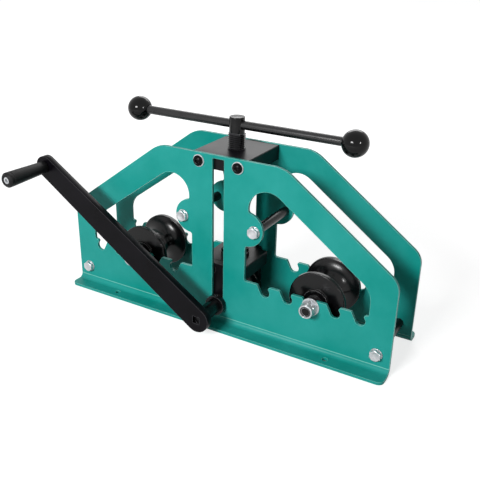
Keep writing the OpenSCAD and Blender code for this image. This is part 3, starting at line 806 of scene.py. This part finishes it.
@dataclass
class Washer:
    """Stamped flat washer with slightly rolled edges."""

    outer: float
    bore: float
    thick: float = 2.0

    def skin(self) -> Turned:
        """Washer with its rolled edges.

        Returns:
            Closed skin that lies on z = 0.
        """
        r, b, h = self.outer / 2, self.bore / 2, self.thick
        ends = rounded(
            [(b, h / 2, 0), (b, 0, 0.15), (r, 0, 0.3), (r, h, 0.4), (b, h, 0.2), (b, h / 2, 0)], 3
        )
        return Turned(72).section(ends)


@dataclass
class Stud:
    """Plain rod with a chamfered end and, if wanted, a thread near it."""

    diameter: float
    low: float
    high: float
    chamfer: float = 1.0
    thread_from: float | None = None
    pitch: float = 1.5

    def skin(self) -> Turned:
        """Rod from its low end to its high end.

        Returns:
            Closed skin along local +Z, and the thread's flanks round it.
        """
        r, c = self.diameter / 2, self.chamfer
        t = Turned(48)
        stop = self.high if self.thread_from is None else self.thread_from
        t.section([(0, self.low), (r - c, self.low), (r, self.low + c), (r, stop - c)])
        if self.thread_from is None:
            return t.section([(r - c, self.high), (0, self.high)])
        root, high = r - 0.61 * self.pitch, self.high
        t.section([(root, stop), (root, high - c), (root - c * 0.6, high), (0, high)]).part()
        return t.thread(root, r, self.pitch, stop - 0.3, self.high - c * 0.4)


# ---------------------------------------------------------------- sub-assemblies


@dataclass
class SidePlates(Assembly):
    """The two folded side plates."""

    edge: float = 0.5

    def build(self) -> None:
        """Rounds the laser-cut edges and coats the plates."""
        for name in ("front_plate", "rear_plate"):
            self.keep(name, POWDER_COAT, self.edge)


@dataclass
class CrossBlock(Assembly):
    """Block at the top with its four domed screws and washers."""

    plate_y: float = 55.8
    x: float = 35.2
    z: float = 279.25
    washer: float = 2.0

    def build(self) -> None:
        """Makes the block's fasteners and finishes the block."""
        self.keep("cross_block", BLACK_OXIDE, 0.4)
        seats = both_ends(self.x, self.plate_y + self.washer, self.z)
        screw = ButtonScrew(head_d=17, head_h=5.5, shank_d=10, shank=31, socket=6)
        self.put(screw.skin().piece("block_button_screws", seats), SCREW_BLACK, "block_screws")
        faces = both_ends(self.x, self.plate_y, self.z)
        washer = Washer(outer=20, bore=10.2, thick=self.washer)
        self.put(washer.skin().piece("block_flat_washers", faces), ZINC, "block_washers")


@dataclass
class Spacers(Assembly):
    """Four spacer tubes with their bolts, washers and nuts."""

    plate_y: float = 55.8
    low: tuple[float, float] = (278.0, 33.0)
    high: tuple[float, float] = (66.0, 181.0)
    bolt: float = 10.0
    across: float = 17.0
    head_h: float = 6.4
    nut_h: float = 9.0
    washer: float = 2.0
    thread: float = 24.0
    tail: float = 3.0
    bite: float = 1.0

    def spots(self) -> list[Pair]:
        """X and Z of the four bolts."""
        return [(s * x, z) for s in (-1, 1) for x, z in (self.low, self.high)]

    def build(self) -> None:
        """Finishes the tubes and makes the fasteners."""
        for row in ("lower", "upper"):
            for side in ("left", "right"):
                self.keep(f"{row}_spacer_{side}", BLACK_TURNED)
        seat = self.plate_y + self.washer
        spots = self.spots()
        front = [placed((x, -seat, z), Way.FRONT) for x, z in spots]
        rear = [placed((x, seat, z), Way.REAR) for x, z in spots]
        head = HexPiece(self.across, self.head_h)
        heads = head.skin().piece("spacer_bolt_heads", front)
        rods = [placed((x, -seat - self.bite, z), Way.REAR) for x, z in spots]
        reach = 2 * seat + self.nut_h + self.tail + self.bite
        rod = Stud(self.bolt, 0, reach, thread_from=reach - self.thread)
        stud = rod.skin().piece("spacer_bolt_rods", rods)
        stud.parent = heads
        ZINC.dress(stud)
        self.put(heads, ZINC, "spacer_bolts")
        nut = HexPiece(self.across, self.nut_h, self.bolt)
        self.put(nut.skin().piece("spacer_hex_nuts", rear), ZINC, "spacer_nuts")
        flats = [placed((x, -self.plate_y, z), Way.FRONT) for x, z in spots]
        flats += [placed((x, self.plate_y, z), Way.REAR) for x, z in spots]
        washer = Washer(outer=20, bore=10.2, thick=self.washer)
        self.put(washer.skin().piece("spacer_flat_washers", flats), ZINC, "spacer_washers")


@dataclass
class OuterAxles(Assembly):
    """Axles of the two free rollers, with sleeves, washers and lock nuts."""

    x: float = 168.0
    z: float = 80.5
    axle_d: float = 14.0
    reach: float = 75.8
    plate_y: float = 55.8
    inner_y: float = 50.8
    boss_y: float = 40.0
    nut_af: float = 22.0
    nut_h: float = 12.1
    collar_h: float = 6.6
    collar_r: float = 11.25
    ring_r: float = 9.0
    washer: float = 2.0

    def axle(self) -> Turned:
        """Axle with a thread on both ends.

        Returns:
            Closed skin about its own middle, and the threads' flanks.
        """
        r, half = self.axle_d / 2, self.reach
        root, run = r - 0.9, self.plate_y
        t = Turned(64)
        t.section([(0, -half), (root - 0.8, -half), (root, -half + 0.8), (root, -run)])
        t.section([(r, -run + 0.5), (r, run - 0.5), (root, run)])
        t.section([(root, half - 0.8), (root - 0.8, half), (0, half)])
        t.part().thread(root, r, 1.5, run - 0.6, half - 0.6)
        return t.thread(root, r, 1.5, -half + 0.6, -run + 0.6)

    def sleeve(self) -> Turned:
        """Sleeve between a roller and a plate, with three turned grooves.

        Returns:
            Closed skin, as far from z = 0 as the sleeve is from the axle's middle.
        """
        low, high = self.boss_y + 0.3, self.inner_y
        b, r = self.axle_d / 2 + 0.05, 13.0
        span = high - low
        corners = [(b, low, 0), (r, low, 0.4)]
        for k in (0.26, 0.5, 0.74):
            z = low + span * k
            corners += [(r, z - 0.9, 0.3), (r - 1.6, z - 0.5, 0.2)]
            corners += [(r - 1.6, z + 0.5, 0.2), (r, z + 0.9, 0.3)]
        corners += [(r, high, 0.3), (b, high, 0), (b, low, 0)]
        return Turned(96).section(rounded(corners, 3))

    def nut(self) -> Turned:
        """Lock nut: hexagon below, round collar rolled over the locking ring above.

        Returns:
            Closed skin that stands on z = 0.
        """
        t = Turned(96)
        flat, top = hexagon(self.nut_af), hex_end(self.nut_af, self.nut_h)
        collar = self.collar_r
        b = self.axle_d / 2 + 0.05
        full = self.nut_h + self.collar_h
        t.section([(b, 0.8), (b + 0.8, 0), (self.nut_af * 0.47, 0)])
        t.ring(lambda a: flat(a) - 0.15, 0.05).ring(flat, 0.4)
        t.ring(flat, lambda a: min(top(a), self.nut_h - 0.2))
        lip = rounded(
            [
                (collar, self.nut_h, 0), (collar, self.nut_h + 0.4, 0.1), (collar, full, 1.6),
                (self.ring_r, full, 0.4), (self.ring_r, full - 1.2, 0), (b + 0.2, full - 1.3, 0),
                (b, full - 1.4, 0), (b, 0.8, 0),
            ],
            5,
        )
        return t.section(lip)

    def insert(self) -> Turned:
        """Locking ring let into the collar of a nut.

        Returns:
            Closed skin, at its height in the nut.
        """
        full = self.nut_h + self.collar_h - 1.2
        b, r = self.axle_d / 2 + 0.05, self.ring_r
        corners = [(b, full - 5, 0), (r, full - 5, 0), (r, full, 0.3), (b + 0.2, full, 0.2)]
        return Turned(72).section(rounded(corners + [(b, full - 0.3, 0), (b, full - 5, 0)], 3))

    def build(self) -> None:
        """Makes and places all axle pieces."""
        for side, sx in (("left", -1), ("right", 1)):
            here = (sx * self.x, 0, self.z)
            axle = self.axle().piece(f"{side}_threaded_axle", [placed(here, Way.FRONT)])
            self.put(axle, BLACK_TURNED, f"{side}_axle")
            pair = [placed(here, Way.FRONT), placed(here, Way.REAR)]
            sleeves = self.sleeve().piece(f"{side}_grooved_sleeves", pair)
            self.put(sleeves, BLACK_TURNED, f"{side}_sleeves")
        faces = both_ends(self.x, self.plate_y, self.z)
        washer = Washer(outer=29, bore=14.2, thick=self.washer)
        self.put(washer.skin().piece("axle_flat_washers", faces), ZINC, "axle_washers")
        seats = both_ends(self.x, self.plate_y + self.washer, self.z)
        self.put(self.nut().piece("axle_lock_nuts", seats), ZINC, "axle_nuts")
        self.put(self.insert().piece("lock_nut_rings", seats), NYLON, "nut_inserts")


@dataclass
class GroovedRoller(Assembly):
    """Roller with a half-round groove for the tube."""

    node: str
    at: Triple
    body: str = "frame"
    radius: float = 47.0
    core: float = 22.0
    bore: float = 10.05
    hub: float = 20.0
    hub_h: float = 4.0
    width: float = 72.0
    groove: float = 28.0
    rim: float = 2.0

    def skin(self) -> Turned:
        """Roller with its groove, rims, hubs and bore.

        Returns:
            Closed skin about its own middle.
        """
        half, far = self.width / 2, self.width / 2 + self.hub_h
        reach = math.sqrt(self.groove**2 - (self.core + self.groove - self.radius) ** 2)
        arc = []
        steps = 40
        limit = math.asin(reach / self.groove)
        for k in range(steps + 1):
            a = -limit + 2 * limit * k / steps
            r = self.core + self.groove - self.groove * math.cos(a)
            arc.append((r, self.groove * math.sin(a)))
        side = [
            (self.bore, -far + 1.0, 0), (self.bore + 1.0, -far, 0.4),
            (self.hub, -far, 0.7), (self.hub, -half, 1.2),
            (self.radius, -half, self.rim), (self.radius, -reach - 0.7, 0.5),
        ]
        left = rounded(side + [(arc[1][0], arc[1][1], 0)], 6)[:-1]
        right = [(r, -z) for r, z in reversed(left)]
        whole = left + arc[1:-1] + right
        return Turned(160).section(whole + [whole[0]])

    def build(self) -> None:
        """Makes the roller on its body."""
        obj = self.skin().piece(f"{self.node}_turned", [placed(self.at, Way.FRONT)], 40)
        self.put(obj, ROLLER_ENAMEL, self.node)


@dataclass
class Yoke(Assembly):
    """Block and legs that carry the driven roller."""

    body: str = "yoke"
    x: float = 14.0
    z: float = 93.5
    head_y: float = 41.7
    keeper_r: float = 19.15
    keeper_z: float = 112.0
    keeper_turn: float = 35.0

    def build(self) -> None:
        """Finishes the blocks and makes the screws."""
        self.keep("press_block", BLACK_OXIDE, 0.4)
        self.keep("front_leg", BLACK_OXIDE, 0.5)
        self.keep("rear_leg", BLACK_OXIDE, 0.5)
        self.keep("keeper_plates", BLACK_OXIDE, 0.4)
        self.keep("front_bush", BRONZE)
        self.keep("rear_bush", BRONZE)
        seats = both_ends(self.x, self.head_y, self.z)
        leg = CapScrew(head_d=13, head_h=8, shank_d=8, shank=20, socket=6.4)
        self.put(leg.skin().piece("leg_cap_screws", seats), SCREW_BLACK, "leg_screws")
        turns = [math.radians(half + s * self.keeper_turn) for half in (0, 180) for s in (-1, 1)]
        r, z = self.keeper_r, self.keeper_z
        tops = [placed((r * math.cos(a), r * math.sin(a), z), Way.UP) for a in turns]
        keeper = CapScrew(head_d=8.5, head_h=4, shank_d=5, shank=16, socket=4)
        self.put(keeper.skin().piece("keeper_cap_screws", tops), SCREW_BLACK, "keeper_screws")


@dataclass
class PressScrew(Assembly):
    """Hand screw: foot, neck, thread and cross-drilled head."""

    body: str = "screw"
    foot: Triple = (11.0, 96.15, 105.85)
    neck_r: float = 7.0
    thread_r: float = 14.3
    root_r: float = 12.2
    pitch: float = 3.175
    thread: Pair = (112.3, 316.0)
    head_r: float = 12.4
    head: Pair = (316.0, 342.0)
    bar: Pair = (7.1, 329.5)

    def head_mesh(self) -> bpy.types.Mesh:
        """Head with the hole for the bar cut through it.

        Returns:
            Mesh in local millimetres.
        """
        low, high = self.head
        corners = [(0, low - 2, 0), (self.root_r, low - 2, 0), (self.root_r, low - 0.2, 0)]
        corners += [(self.head_r, low, 0.4), (self.head_r, high, 1.5), (0, high, 0)]
        body = Turned(96).section(rounded(corners, 4)).piece("screw_head", [Matrix.Identity(4)])
        r, z = self.bar
        tool = Turned(64).section([(0, -30), (r, -30), (r, 30), (0, 30)])
        turn = Matrix.Translation((0, 0, z)) @ Matrix.Rotation(math.pi / 2, 4, "Y")
        cutter = tool.piece("bar_drill", [turn])
        cut = body.modifiers.new("drill", "BOOLEAN")
        cut.object, cut.operation, cut.solver = cutter, "DIFFERENCE", "EXACT"
        rim = body.modifiers.new("rim", "BEVEL")
        rim.width, rim.segments, rim.limit_method = 0.45, 2, "ANGLE"
        rim.angle_limit = math.radians(50)
        bpy.context.view_layer.update()
        graph = bpy.context.evaluated_depsgraph_get()
        done = bpy.data.meshes.new_from_object(body.evaluated_get(graph))
        for spare in (body, cutter):
            bpy.data.objects.remove(spare)
        return done

    def build(self) -> None:
        """Makes the whole screw as one piece."""
        foot_r, foot_low, foot_high = self.foot
        low, high = self.thread
        t = Turned(96)
        stem = [
            (0, foot_low, 0), (foot_r, foot_low, 0.6), (foot_r, foot_high, 0.6),
            (self.neck_r, foot_high, 0.4), (self.neck_r, low, 0), (self.root_r, low, 0),
            (self.root_r, high + 1, 0), (0, high + 1, 0),
        ]
        t.section(rounded(stem, 3)).part()
        t.thread(self.root_r, self.thread_r, self.pitch, low, high)
        t.add(self.head_mesh())
        screw = t.piece("press_screw_threaded", [placed((0, 0, 0), Way.UP)], 70)
        self.put(screw, THREAD_BLACK, "press_screw")


@dataclass
class TurningBar(Assembly):
    """Sliding bar with a ball on each end."""

    body: str = "bar"
    z: float = 329.5
    bar_r: float = 7.0
    reach: float = 187.5
    shift: float = 3.0
    ball_r: float = 20.5
    ball_x: float = 193.0
    seat: float = 15.0

    def ball(self) -> Turned:
        """Ball with the blind hole that the bar's end sits in.

        Returns:
            Closed skin about the ball's middle, with the hole from below.
        """
        r, hole = self.ball_r, self.bar_r + 0.05
        mouth = hole + 0.7
        start = -math.acos(mouth / r)
        deep = -(r - self.seat)
        t = Turned(96).section([(0, deep), (hole, deep), (hole, r * math.sin(start) + 0.7)])
        steps = 40
        for k in range(steps + 1):
            a = start + (math.pi / 2 - start) * k / steps
            t.ring(max(r * math.cos(a), 0), r * math.sin(a))
        return t

    def build(self) -> None:
        """Makes the bar and its two balls."""
        c, r, far = 0.8, self.bar_r, self.reach
        half = [(0, -far), (r - c, -far), (r, -far + c)]
        rod = Turned(64).section(half + [(a, -z) for a, z in reversed(half)])
        bar = rod.piece("sliding_bar", [placed((self.shift, 0, self.z), Way.RIGHT)])
        self.put(bar, BAR_BLACK, "turning_bar")
        for side, sx, way in (("left", -1, Way.LEFT), ("right", 1, Way.RIGHT)):
            at = (self.shift + sx * self.ball_x, 0, self.z)
            ball = self.ball().piece(f"{side}_bar_ball", [placed(at, way)], 50)
            self.put(ball, PHENOLIC, f"{side}_ball")


@dataclass
class Drive(Assembly):
    """Shaft, key, collars and crank that turn the middle roller."""

    body: str = "drive"
    handle: Pair = (-302.478, 238.492)
    crank_back: float = 109.0
    nut_af: float = 13.0
    nut_h: float = 6.4

    def build(self) -> None:
        """Finishes the shaft's pieces and makes the lock nut on the grip's bolt."""
        self.keep("drive_shaft", BLACK_TURNED, 0.3)
        self.keep("roller_key", KEY_STEEL)
        self.keep("front_collar", BLACK_TURNED, 0.4)
        self.keep("rear_collar", BLACK_TURNED, 0.4)
        self.keep("collar_screws", SCREW_BLACK)
        self.keep("crank_arm", CRANK_BLACK, 0.8)
        self.keep("crank_set_screw", SCREW_BLACK)
        x, z = self.handle
        nut = HexPiece(self.nut_af, self.nut_h, 8).skin()
        back = [placed((x, -self.crank_back, z), Way.REAR)]
        self.put(nut.piece("handle_lock_nut", back), ZINC, "handle_nut")


@dataclass
class Handle(Assembly):
    """Free-turning grip and the bolt that it runs on."""

    body: str = "grip"
    at: Triple = (-302.478, -121.6, 238.492)
    length: float = 84.0
    small_r: float = 10.0
    big_r: float = 12.5
    chamfer: float = 3.0
    line: float = 9.0
    bore: float = 4.1
    seat_r: float = 6.3
    head_h: float = 5.0
    tail: float = 20.0

    def grip(self) -> Turned:
        """Tapered grip with a ring groove and a chamfered outer end.

        Returns:
            Closed skin that stands on z = 0 with its small end.
        """
        far, line = self.length, self.length - self.line
        seat = far - self.head_h - 1.1
        corners = [
            (self.bore, 0.3, 0), (self.bore + 0.3, 0, 0), (self.small_r, 0, 1.0),
            (self.big_r, line - 0.8, 0.3), (self.big_r - 0.6, line - 0.3, 0.2),
            (self.big_r - 0.6, line + 0.3, 0.2), (self.big_r, line + 0.8, 0.3),
            (self.big_r, far - self.chamfer, 0.8), (self.big_r - self.chamfer, far, 0.6),
            (self.seat_r, far, 0.3), (self.seat_r, seat, 0), (self.bore, seat, 0),
            (self.bore, 0.3, 0),
        ]
        return Turned(96).section(rounded(corners, 4))

    def build(self) -> None:
        """Makes the grip on its own body and the bolt on the crank's."""
        grip = self.grip().piece("tapered_grip", [placed(self.at, Way.FRONT)])
        self.put(grip, GRIP_PLASTIC, "handle_grip")
        x, y, z = self.at
        head = self.length - self.head_h - 1
        bolt = CapScrew(
            head_d=12, head_h=self.head_h, shank_d=8, shank=head + self.tail, socket=6, ridges=30
        )
        seat = [placed((x, y - head, z), Way.FRONT)]
        self.put(bolt.skin().piece("handle_cap_bolt", seat), ZINC, "handle_bolt", body="drive")


@dataclass
class RollerBushes(Assembly):
    """Bronze bushes in the two free rollers."""

    def build(self) -> None:
        """Finishes the bushes."""
        self.keep("left_bushes", BRONZE)
        self.keep("right_bushes", BRONZE)


# ---------------------------------------------------------------- studio


@dataclass
class Lamp:
    """Soft rectangular lamp that looks at the object; a kicker shows only in reflections."""

    name: str
    at: Triple
    size: Pair
    watts: float
    kicker: bool = False
    aim: Triple = (0.0, 0.0, 0.15)

    def build(self) -> None:
        """Adds the lamp."""
        data = bpy.data.lights.new(self.name, "AREA")
        data.shape, data.energy = "RECTANGLE", self.watts
        data.size, data.size_y = self.size
        obj = bpy.data.objects.new(self.name, data)
        obj.location = self.at
        obj.visible_diffuse = not self.kicker
        look = Vector(self.at) - Vector(self.aim)
        obj.rotation_euler = look.to_track_quat("Z", "Y").to_euler()
        bpy.context.scene.collection.objects.link(obj)


@dataclass
class Studio:
    """White sweep, soft lamps and the camera of the photograph."""

    azimuth: float = 30.19
    elevation: float = 23.97
    roll: float = 0.91
    distance: float = 1.144
    target: Triple = (-0.0025, 0.0, 0.1384)
    focal_px: float = 681.5
    centre_px: Pair = (234.0, 235.4)
    frame_px: float = 480.0
    sensor_mm: float = 36.0
    ambient: float = 0.09
    floor_half: float = 6.0
    floor_tone: float = 0.5
    floor_glow: float = 0.78
    foot_hole: Pair = (0.2032, 0.07)
    hole_reach: float = 0.009

    def floor(self) -> None:
        """Adds a large floor that keeps the shadow and glows white to the camera.

        Under the four bolt holes the floor doesn't glow, a painted shade, so that the holes show
        dark and not white.
        """
        bm = bmesh.new()
        bmesh.ops.create_grid(bm, x_segments=8, y_segments=8, size=self.floor_half)
        mesh = bpy.data.meshes.new("studio_floor")
        bm.to_mesh(mesh)
        bm.free()
        obj = bpy.data.objects.new("studio_floor", mesh)
        bpy.context.scene.collection.objects.link(obj)
        mat = bpy.data.materials.new("WhiteSweep_Paper")
        mat.use_nodes = True
        tree = mat.node_tree
        shader = tree.nodes["Principled BSDF"]
        tone = self.floor_tone
        shader.inputs["Base Color"].default_value = (tone, tone, tone, 1.0)
        shader.inputs["Roughness"].default_value = 0.9
        shader.inputs["Specular IOR Level"].default_value = 0.0
        ray = add_node(tree, "ShaderNodeLightPath")
        seen = add_node(
            tree,
            "ShaderNodeMath",
            {"operation": "MAXIMUM"},
            {0: ray.outputs["Is Camera Ray"], 1: ray.outputs["Is Glossy Ray"]},
        )
        at = add_node(tree, "ShaderNodeTexCoord").outputs["Object"]
        far = add_node(tree, "ShaderNodeVectorMath", {"operation": "LENGTH"}, {0: at})
        lift = add_node(
            tree,
            "ShaderNodeMapRange",
            {"From Min": 0.5, "From Max": 1.5, "To Min": self.floor_glow, "To Max": 1.0},
            {"Value": far.outputs["Value"]},
        )
        place = add_node(tree, "ShaderNodeSeparateXYZ", links={0: at})
        near = []
        for axis, middle in zip("XY", self.foot_hole):
            side = {0: place.outputs[axis]}
            off = add_node(tree, "ShaderNodeMath", {"operation": "ABSOLUTE"}, side)
            band = {"operation": "COMPARE", 1: middle, 2: self.hole_reach}
            near.append(add_node(tree, "ShaderNodeMath", band, {0: off.outputs["Value"]}))
        # Painted shade: no glow under the four foot bolt holes.
        painted_hole_shade = add_node(
            tree,
            "ShaderNodeMath",
            {"operation": "MULTIPLY"},
            {0: near[0].outputs["Value"], 1: near[1].outputs["Value"]},
        )
        free = add_node(
            tree, "ShaderNodeMath", {"operation": "SUBTRACT", 0: 1.0}, {1: painted_hole_shade.outputs["Value"]}
        )
        shown = add_node(
            tree,
            "ShaderNodeMath",
            {"operation": "MULTIPLY"},
            {0: lift.outputs["Result"], 1: free.outputs["Value"]},
        )
        glow = add_node(
            tree,
            "ShaderNodeMath",
            {"operation": "MULTIPLY"},
            {0: seen.outputs["Value"], 1: shown.outputs["Value"]},
        )
        shader.inputs["Emission Color"].default_value = WHITE
        tree.links.new(glow.outputs["Value"], shader.inputs["Emission Strength"])
        obj.data.materials.append(mat)

    def world(self) -> None:
        """Makes the world white to the eye and soft to the object."""
        world = bpy.data.worlds.new("studio_world")
        bpy.context.scene.world = world
        world.use_nodes = True
        tree = world.node_tree
        out = next(n for n in tree.nodes if n.type == "OUTPUT_WORLD")
        ray = add_node(tree, "ShaderNodeLightPath")
        seen = add_node(
            tree,
            "ShaderNodeMath",
            {"operation": "MAXIMUM"},
            {0: ray.outputs["Is Camera Ray"], 1: ray.outputs["Is Transmission Ray"]},
        )
        glossy = add_node(
            tree,
            "ShaderNodeMath",
            {"operation": "MAXIMUM"},
            {0: seen.outputs["Value"], 1: ray.outputs["Is Glossy Ray"]},
        )
        dim = {"Color": WHITE, "Strength": self.ambient}
        soft = add_node(tree, "ShaderNodeBackground", dim)
        white = add_node(tree, "ShaderNodeBackground", {"Color": WHITE, "Strength": 1.0})
        mix = add_node(
            tree,
            "ShaderNodeMixShader",
            links={0: glossy.outputs["Value"], 1: soft.outputs[0], 2: white.outputs[0]},
        )
        tree.links.new(mix.outputs[0], out.inputs["Surface"])

    def camera(self) -> None:
        """Adds the camera at the photograph's viewpoint."""
        a, e, roll = (math.radians(v) for v in (self.azimuth, self.elevation, self.roll))
        back = Vector((math.sin(a) * math.cos(e), -math.cos(a) * math.cos(e), math.sin(e)))
        right = Vector((math.cos(a), math.sin(a), 0.0))
        up = back.cross(right)
        x = math.cos(roll) * right + math.sin(roll) * up
        y = -math.sin(roll) * right + math.cos(roll) * up
        data = bpy.data.cameras.new("photo_camera")
        data.sensor_width = self.sensor_mm
        data.lens = self.focal_px / self.frame_px * self.sensor_mm
        data.shift_x = (self.frame_px / 2 - self.centre_px[0]) / self.frame_px
        data.shift_y = (self.centre_px[1] - self.frame_px / 2) / self.frame_px
        data.clip_start, data.clip_end = 0.05, 60.0
        obj = bpy.data.objects.new("photo_camera", data)
        obj.matrix_world = Matrix.Translation(Vector(self.target) + back * self.distance) @ (
            Matrix((x, y, back)).transposed().to_4x4()
        )
        bpy.context.scene.collection.objects.link(obj)
        bpy.context.scene.camera = obj

    def build(self) -> None:
        """Sets up the whole studio."""
        self.floor()
        self.world()
        self.camera()
        for lamp in (
            Lamp("front_softbox", (-0.165, -2.05, 1.16), (0.7, 0.42), 42.0),
            Lamp("side_lamp", (1.49, -0.66, 0.83), (0.2, 0.2), 8.0, kicker=True),
            Lamp("back_softbox", (-0.5, 1.5, 1.3), (1.6, 0.8), 14.0),
        ):
            lamp.build()
        bpy.context.scene.view_settings.view_transform = "Standard"


def assemblies() -> list[Assembly]:
    """Lists the sub-assemblies of the tool.

    Returns:
        The sub-assemblies, in the order in which they are made.
    """
    return [
        SidePlates(),
        CrossBlock(),
        Spacers(),
        OuterAxles(),
        GroovedRoller("left_roller", (-168.0, 0.0, 80.5), "left_roller"),
        GroovedRoller("right_roller", (168.0, 0.0, 80.5), "right_roller"),
        GroovedRoller(
            "centre_roller", (0.0, 0.0, 36.0), "drive", radius=34.0, core=15.0, hub=15.0, hub_h=1.7
        ),
        RollerBushes(),
        Yoke(),
        PressScrew(),
        TurningBar(),
        Drive(),
        Handle(),
    ]


def main() -> None:
    """Builds the studio and every sub-assembly."""
    logging.basicConfig(level=logging.INFO, format="%(message)s")
    Studio().build()
    for assembly in assemblies():
        assembly.build()


if __name__ == "__main__":
    main()
